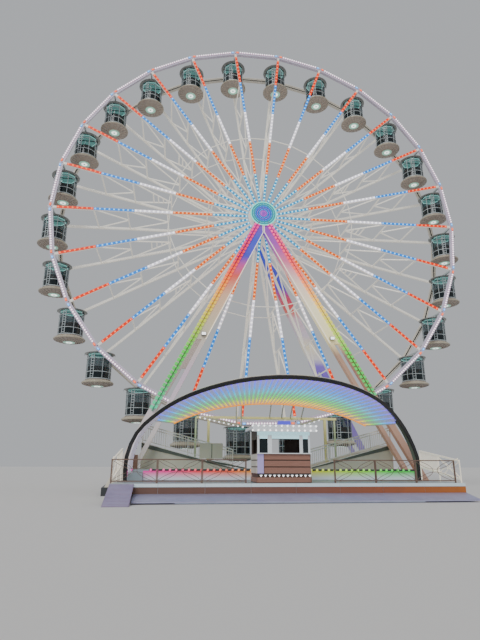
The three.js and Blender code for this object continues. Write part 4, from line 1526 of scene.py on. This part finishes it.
class DRESS_OT_decks(BuildOperator, bpy.types.Operator):
    """Adds the fascia, edge strips and coloured lamps of the decks"""

    bl_idname = "dress.decks"
    bl_label = "Decks"

    def build(self, scene):
        shape = Shape()
        x, bay = DECK_LEFT + 0.02, 1.975
        while x < DECK_RIGHT - 0.1:
            right = min(x + bay - 0.012, DECK_RIGHT - 0.01)
            shape.box((x, DECK_FRONT - 0.012, 0.335), (right, DECK_FRONT, 0.595), "fascia")
            shape.box((x, DECK_FRONT - 0.016, 0.605), (right, DECK_FRONT, 0.745), "edge")
            x += bay
        shape.box((-APRON_HALF, APRON_FRONT, 0.025), (APRON_HALF, APRON_FRONT + 0.0195, 0.075), "edge")
        # Anti-slip ribs across the entry ramp.
        ribs = []
        (y, z), (run, rise) = RAMP_FOOT, RAMP_RISE
        for step in range(1, 17):
            place = (y + run * step / 17, z + rise * step / 17)
            ribs.append([(RAMP_LEFT, *place), (RAMP_RIGHT, *place)])
        parts = [shape.mesh(), bars(ribs, 0.03, "apron", 0.016)]
        piece("deck_fascia", parts, "base", "deck_plate")
        # The riser of the upper deck: lamps under a lip, and plates that they light. The plates
        # stop at the steps, and the lamps and the lip at the gap over the steps.
        front, level = UPPER_FRONT - 0.05, 1.245
        runs = ((RISER_LIGHTS[0], GAP_LEFT - 0.07), (GAP_RIGHT + 0.09, 7.25))
        rows = [[(low, front, level), (high, front, level)] for low, high in runs]
        plates = Shape()
        for low, high in ((RISER_LEFT, STEPS_LEFT), (STEPS_RIGHT, RISER_RIGHT)):
            plates.box((low, UPPER_FRONT - 0.02, 0.76), (high, UPPER_FRONT, 1.2), "riser_glow")
        for low, high in ((RISER_LEFT, GAP_LEFT), (GAP_RIGHT, RISER_RIGHT)):
            plates.box((low, UPPER_FRONT - 0.035, 1.205), (high, UPPER_FRONT, 1.285), "dark")
        parts = [lamps(rows, 0.32, 0.07, "riser_lamp"), plates.mesh()]
        piece("riser_lamps", parts, "base", "light_panel")


def bowed_pairs(start, bay, low, high, waists, swells, place):
    """Two lying and two standing bars of one bay, bowed towards each other in its middle.

    waists are their least distances from the middle and swells how strongly they bow away.
    place makes a point of a distance along the bay, a level, and the distance of the floor
    that the level is counted from.
    """
    middle = start + bay / 2
    lines = []
    for flip in (1, -1):
        lying, standing = [], []
        for k in range(BOW_STEPS + 1):
            share = k / BOW_STEPS
            bow = (share - 0.5) ** 2
            along = start + bay * share
            level = (low + high) / 2 + flip * (waists[0] + swells[0] * bow)
            lying.append(place(along, level, along))
            along = middle + flip * (waists[1] + swells[1] * bow)
            standing.append(place(along, low + (high - low) * share, middle))
        lines += [lying, standing]
    return lines


def fence_infill(start):
    """Bowed bars and end bars of the bays of a front fence."""
    y, foot = DECK_FRONT + 0.06, DECK_TOP + 0.01

    def place(x, z, _):
        return (x, y, z)

    lines = []
    for bay in range(FENCE_BAYS):
        left = start + FENCE_BAY * bay + 0.06
        right = left + FENCE_BAY - 0.12
        lines += bowed_pairs(left, right - left, FENCE_LOW, FENCE_TOP, (0.06, 0.1), (1.3, 2.6), place)
        lines += [[(x, y, foot), (x, y, FENCE_TOP)] for x in (left - 0.02, right + 0.02)]
    return [bars(lines, 0.017, "fence")]


def loading_infill(side):
    """Upright bars and two rails along the slope of a loading deck."""
    (start, foot), (stop, top) = LOAD_LOW, LOAD_HIGH
    slope = (top - foot) / (stop - start)

    def point(x, up):
        return (side * x, LOAD_FRONT + 0.05, foot + (x - start) * slope + up)

    lines, x = [], start + 0.16
    while x < stop - 0.1:
        lines.append([point(x, 0.16), point(x, 0.96)])
        x += 0.12
    ends = (start + 0.06, stop - 0.06)
    rails = [[point(end, up) for end in ends] for up in (0.84, 0.985)]
    return [bars(lines, 0.024, "rail"), bars(rails, 0.05, "rail")]


def side_infill(x):
    """A bowed bay in front, upright bars behind it, and two rails up the slope to the upper deck."""
    slope = (UPPER_TOP - DECK_TOP) / (SIDE_BACK - SIDE_FRONT)

    def place(y, up, floor_at):
        return (x, y, DECK_TOP + slope * (floor_at - SIDE_FRONT) + up)

    lines = []
    for step in range(1, 16):
        y = -7.15 + 1.85 * step / 16
        lines.append([place(y, 0.14, y), place(y, 0.97, y)])
    lines += bowed_pairs(SIDE_FRONT + 0.03, 1.79, 0.15, 0.95, (0.05, 0.08), (1.35, 3.0), place)
    rails = [[place(y, up, y) for y in (SIDE_FRONT, SIDE_BACK)] for up in (0.16, 0.975)]
    return [bars(lines, 0.03, "side_rail"), bars(rails, 0.075, "side_rail")]


class DRESS_OT_railings(BuildOperator, bpy.types.Operator):
    """Adds the infill of the fences and railings"""

    bl_idname = "dress.railings"
    bl_label = "Railings"

    def build(self, scene):
        for name, start in FENCE_STARTS.items():
            piece(f"fence_infill_{name}", fence_infill(start), "base", "fence_brown")
        for name, side in (("left", -1), ("right", 1)):
            piece(f"loading_infill_{name}", loading_infill(side), "base", "rail_white")
        for name, x in (("left", DECK_LEFT + 0.06), ("right", DECK_RIGHT - 0.06)):
            piece(f"side_infill_{name}", side_infill(x), "base", "rail_white")


def canopy_struts(arch):
    """Struts from the cloth's rear edge to the portal's beam and a lamp arm, and two columns."""
    rear = [cloth_edges(arch, CLOTH_SPAN * (i / 32 - 1))[1] for i in range(65)]
    struts = []
    for x in (-0.03, 0.68, 1.21, 1.87):
        top = at_x(rear, x)
        struts.append([(x, top.y, top.z - 0.03), (x + 0.15, BEAM_Y, BEAM_LOW)])
    for x in (-2.01, -1.72):
        top = at_x(rear, x)
        struts.append([(x, top.y, top.z - 0.03), (x + 0.05, LOAD_FRONT, 3.68)])
        struts.append([(x, top.y, top.z - 0.03), (x + 0.15, BEAM_Y, BEAM_LOW)])
    columns = [[(x, BEAM_Y, 1.9), (x, BEAM_Y, BEAM_HIGH)] for x in (-4.2, 4.05)]
    return [bars(struts, 0.06, "rail"), bars(columns, 0.09, "column")]


def lamp_arms():
    """The two sloping arms with their lamps, held on the portal's beam."""
    arms = (
        [(-4.0, LOAD_FRONT, 4.1), (-1.6, LOAD_FRONT, 3.6)],
        [(2.84, LOAD_FRONT, 4.04), (1.7, LOAD_FRONT, 3.69)],
    )
    holders = []
    for outer, inner in arms:
        for share in (0.05, 0.9):
            at = Vector(outer).lerp(Vector(inner), share)
            holders.append([at, (at.x, BEAM_Y - 0.03, BEAM_HIGH)])
    below = [[(x, y, z - 0.06) for x, y, z in arm] for arm in arms]
    return [
        bars(arms, 0.14, "rail", 0.09),
        bars(holders, 0.04, "rail"),
        lamps(below, 0.26, 0.06, "dot_cool"),
    ]


def platform_trim():
    """Stringers and edges of the loading decks, a gate panel, a small brown box and a low beam."""
    shape = Shape()
    face = LOAD_FRONT - 0.0005
    for side in (-1, 1):
        # The stringer tapers to the foot of the slope, and a pale edge strip covers its top.
        for proud, finish, levels in (
            (0.03, "stringer", (-0.01, -0.01, -0.24, -0.045)),
            (0.045, "rail", (0.03, 0.03, -0.01, -0.01)),
        ):
            ends = (LOAD_LOW, LOAD_HIGH, LOAD_HIGH, LOAD_LOW)
            outline = [(side * x, z + up) for (x, z), up in zip(ends, levels)]
            shape.plate(outline, "Y", LOAD_FRONT - proud, face, finish)
    shape.box((-4.0, LOAD_FRONT - 0.03, 1.82), (-2.72, LOAD_FRONT + 0.02, 2.64), "cream")
    shape.box((-3.34, LOAD_FRONT - 0.04, 1.86), (-3.3, LOAD_FRONT - 0.03, 2.6), "stringer")
    shape.box((-7.56, UPPER_FRONT + 0.02, UPPER_TOP), (-7.2, UPPER_FRONT + 0.23, 1.98), "seat")
    # The low beam lies in front of the step down.
    beam = [(-3.58, 1.77), (-1.48, 1.36), (-1.48, 1.28), (-3.58, 1.66)]
    shape.plate(beam, "Y", LOAD_FRONT - 0.09, LOAD_FRONT - 0.04, "stringer")
    return shape.mesh()


class DRESS_OT_fittings(BuildOperator, bpy.types.Operator):
    """Adds the lamp arms, struts, stringers and panels round the loading platform"""

    bl_idname = "dress.fittings"
    bl_label = "Platform fittings"

    def build(self, scene):
        piece("canopy_struts", canopy_struts(arch_points(ARCH_STEPS)), "base", "portal_white")
        piece("lamp_arms", lamp_arms(), "base", "portal_white")
        piece("platform_trim", [platform_trim()], "base", "cream_panel")


def add_booth_walls(shape):
    """Boards and panels below the counter, and posts, panes and a lit frieze above it."""
    left, right, front = BOOTH_LEFT, BOOTH_RIGHT, BOOTH_FRONT
    for low, high in ((1.15, 1.4), (1.445, 1.69), (1.735, 1.975)):
        shape.box((-1.42, front - 0.035, low), (right - 0.02, front, high), "boards")
        for x0, x1 in ((left - 0.03, left), (right, right + 0.03)):
            shape.box((x0, front + 0.02, low), (x1, BOOTH_BACK - 0.02, high), "panel")
    shape.box((left, front - 0.03, 1.15), (-1.44, front, 1.975), "lilac")
    shape.box((left - 0.03, front - 0.14, COUNTER - 0.04), (right + 0.03, front, COUNTER), "gloss")
    shape.box((left, front - 0.015, 2.64), (right, front, 3.04), "frieze")
    for x0, x1 in ((left, left + 0.09), (-1.25, -1.06), (0.21, 0.36), (right - 0.09, right)):
        shape.box((x0, front - 0.03, COUNTER), (x1, front, WINDOW_TOP), "gloss")
    for x0, x1 in ((-1.6, -1.25), (0.37, 0.6)):
        shape.box((x0, front + 0.02, COUNTER + 0.01), (x1, front + 0.03, WINDOW_TOP - 0.02), "dark_glass")


def add_booth_foot(shape):
    """The foot has rounded corners and stands a little forward, over a recess drawn as a dark plate of
    painted shade.
    """
    foot, radius = [], 0.14
    for x, y, start in (
        (BOOTH_RIGHT - 0.1, BOOTH_BACK, 0.0),
        (BOOTH_LEFT + 0.1, BOOTH_BACK, math.pi / 2),
        (BOOTH_LEFT + 0.1, BOOTH_FRONT + 0.04, math.pi),
        (BOOTH_RIGHT - 0.1, BOOTH_FRONT + 0.04, math.pi * 1.5),
    ):
        for step in range(5):
            a = start + math.pi / 8 * step
            foot.append((x + radius * math.cos(a), y + radius * math.sin(a)))
    shape.plate(foot, "Z", 0.77, 0.98, "boards")
    # The recess's dark plate is painted shade under the foot.
    recess = [(x * 0.985 - 0.008, y * 0.997 - 0.02) for x, y in foot]
    shape.plate(recess, "Z", 0.7405, 0.77, "dark")


def add_booth_roof(shape):
    """A lit band with a rolled lip hides the roof's front edge, and a lit box stands on it."""
    back, lip = BOOTH_FRONT - 0.27, BOOTH_FRONT - 0.25
    outline = [
        (back, BAND_LOW),
        (lip, BAND_LOW),
        (lip, BAND_HIGH),
        (lip + 0.1, BAND_HIGH),
        (lip + 0.1, BOOTH_TOP),
        (back, BOOTH_TOP),
    ]
    shape.plate(outline, "X", BOOTH_LEFT - 0.25, BOOTH_RIGHT + 0.25, "gloss")
    shape.box((-0.75, -8.98, BOOTH_TOP + 0.001), (-0.2, -8.68, 3.42), "violet_box")
    shape.box((-0.7, -8.94, 3.1805), (-0.25, -8.72, BOOTH_TOP + 0.001), "dark")


def add_booth_lamps(shape):
    """Small pyramid lamps that point down from a channel under the boards."""
    left, right, front = BOOTH_LEFT, BOOTH_RIGHT, BOOTH_FRONT
    shape.box((left + 0.02, front - 0.05, 1.085), (right - 0.02, front, 1.135), "dark")
    x = left + 0.1
    while x < right - 0.1:
        rings = []
        for z, near, far, low, high in ((1.0, 0.05, 0.06, 0.03, 0.04), (1.085, 0.0, 0.11, 0.0, 0.07)):
            y0, y1 = front - high, front - low
            rings.append([(x + near, y0, z), (x + far, y0, z), (x + far, y1, z), (x + near, y1, z)])
        shape.loft(rings, "dot_cool")
        x += 0.2


class DRESS_OT_booth(BuildOperator, bpy.types.Operator):
    """Dresses the ticket booth"""

    bl_idname = "dress.booth"
    bl_label = "Booth"

    def build(self, scene):
        shape = Shape()
        add_booth_walls(shape)
        add_booth_foot(shape)
        add_booth_roof(shape)
        add_booth_lamps(shape)
        left, right, y = BOOTH_LEFT - 0.25, BOOTH_RIGHT + 0.25, BOOTH_FRONT - 0.28
        rows = [[(left, y, z), (right, y, z)] for z in (BAND_LOW + 0.05, BAND_HIGH)]
        parts = [shape.mesh(), lamps(rows, 0.26, 0.045, "dot_cool")]
        piece("booth_front", parts, "base", "booth_boards")


class DRESS_PT_panel(bpy.types.Panel):
    """Lists the operators, in the order in which the wheel is dressed"""

    bl_idname = "DRESS_PT_panel"
    bl_label = "Ferris wheel"
    bl_space_type = "VIEW_3D"
    bl_region_type = "UI"
    bl_category = "Ferris wheel"

    def draw(self, context):
        for operator in OPERATORS:
            self.layout.operator(operator.bl_idname)
        for group in GROUPS:
            settings = getattr(context.scene, group)
            # The first two are Blender's own.
            for name in settings.bl_rna.properties.keys()[2:]:
                self.layout.prop(settings, name)


OPERATORS = (
    DRESS_OT_stage,
    DRESS_OT_steelwork,
    DRESS_OT_lattice,
    DRESS_OT_spoke_lamps,
    DRESS_OT_rim_lamps,
    DRESS_OT_hub,
    DRESS_OT_cabins,
    DRESS_OT_legs,
    DRESS_OT_canopy,
    DRESS_OT_decks,
    DRESS_OT_railings,
    DRESS_OT_fittings,
    DRESS_OT_booth,
)
GROUPS = {
    "dress_wheel": WheelSizes,
    "dress_cabin": CabinSizes,
    "dress_canopy": CanopySizes,
    "dress_stage": StageSettings,
}


def register():
    for name, group in GROUPS.items():
        bpy.utils.register_class(group)
        setattr(bpy.types.Scene, name, bpy.props.PointerProperty(type=group))
    for made in (*OPERATORS, DRESS_PT_panel):
        bpy.utils.register_class(made)


def unregister():
    for made in (DRESS_PT_panel, *reversed(OPERATORS)):
        bpy.utils.unregister_class(made)
    for name, group in GROUPS.items():
        delattr(bpy.types.Scene, name)
        bpy.utils.unregister_class(group)


def main():
    """Dresses the wheel."""
    register()
    make_materials()
    make_trees()
    for operator in OPERATORS:
        group, name = operator.bl_idname.split(".")
        getattr(getattr(bpy.ops, group), name)()


if __name__ == "__main__":
    main()
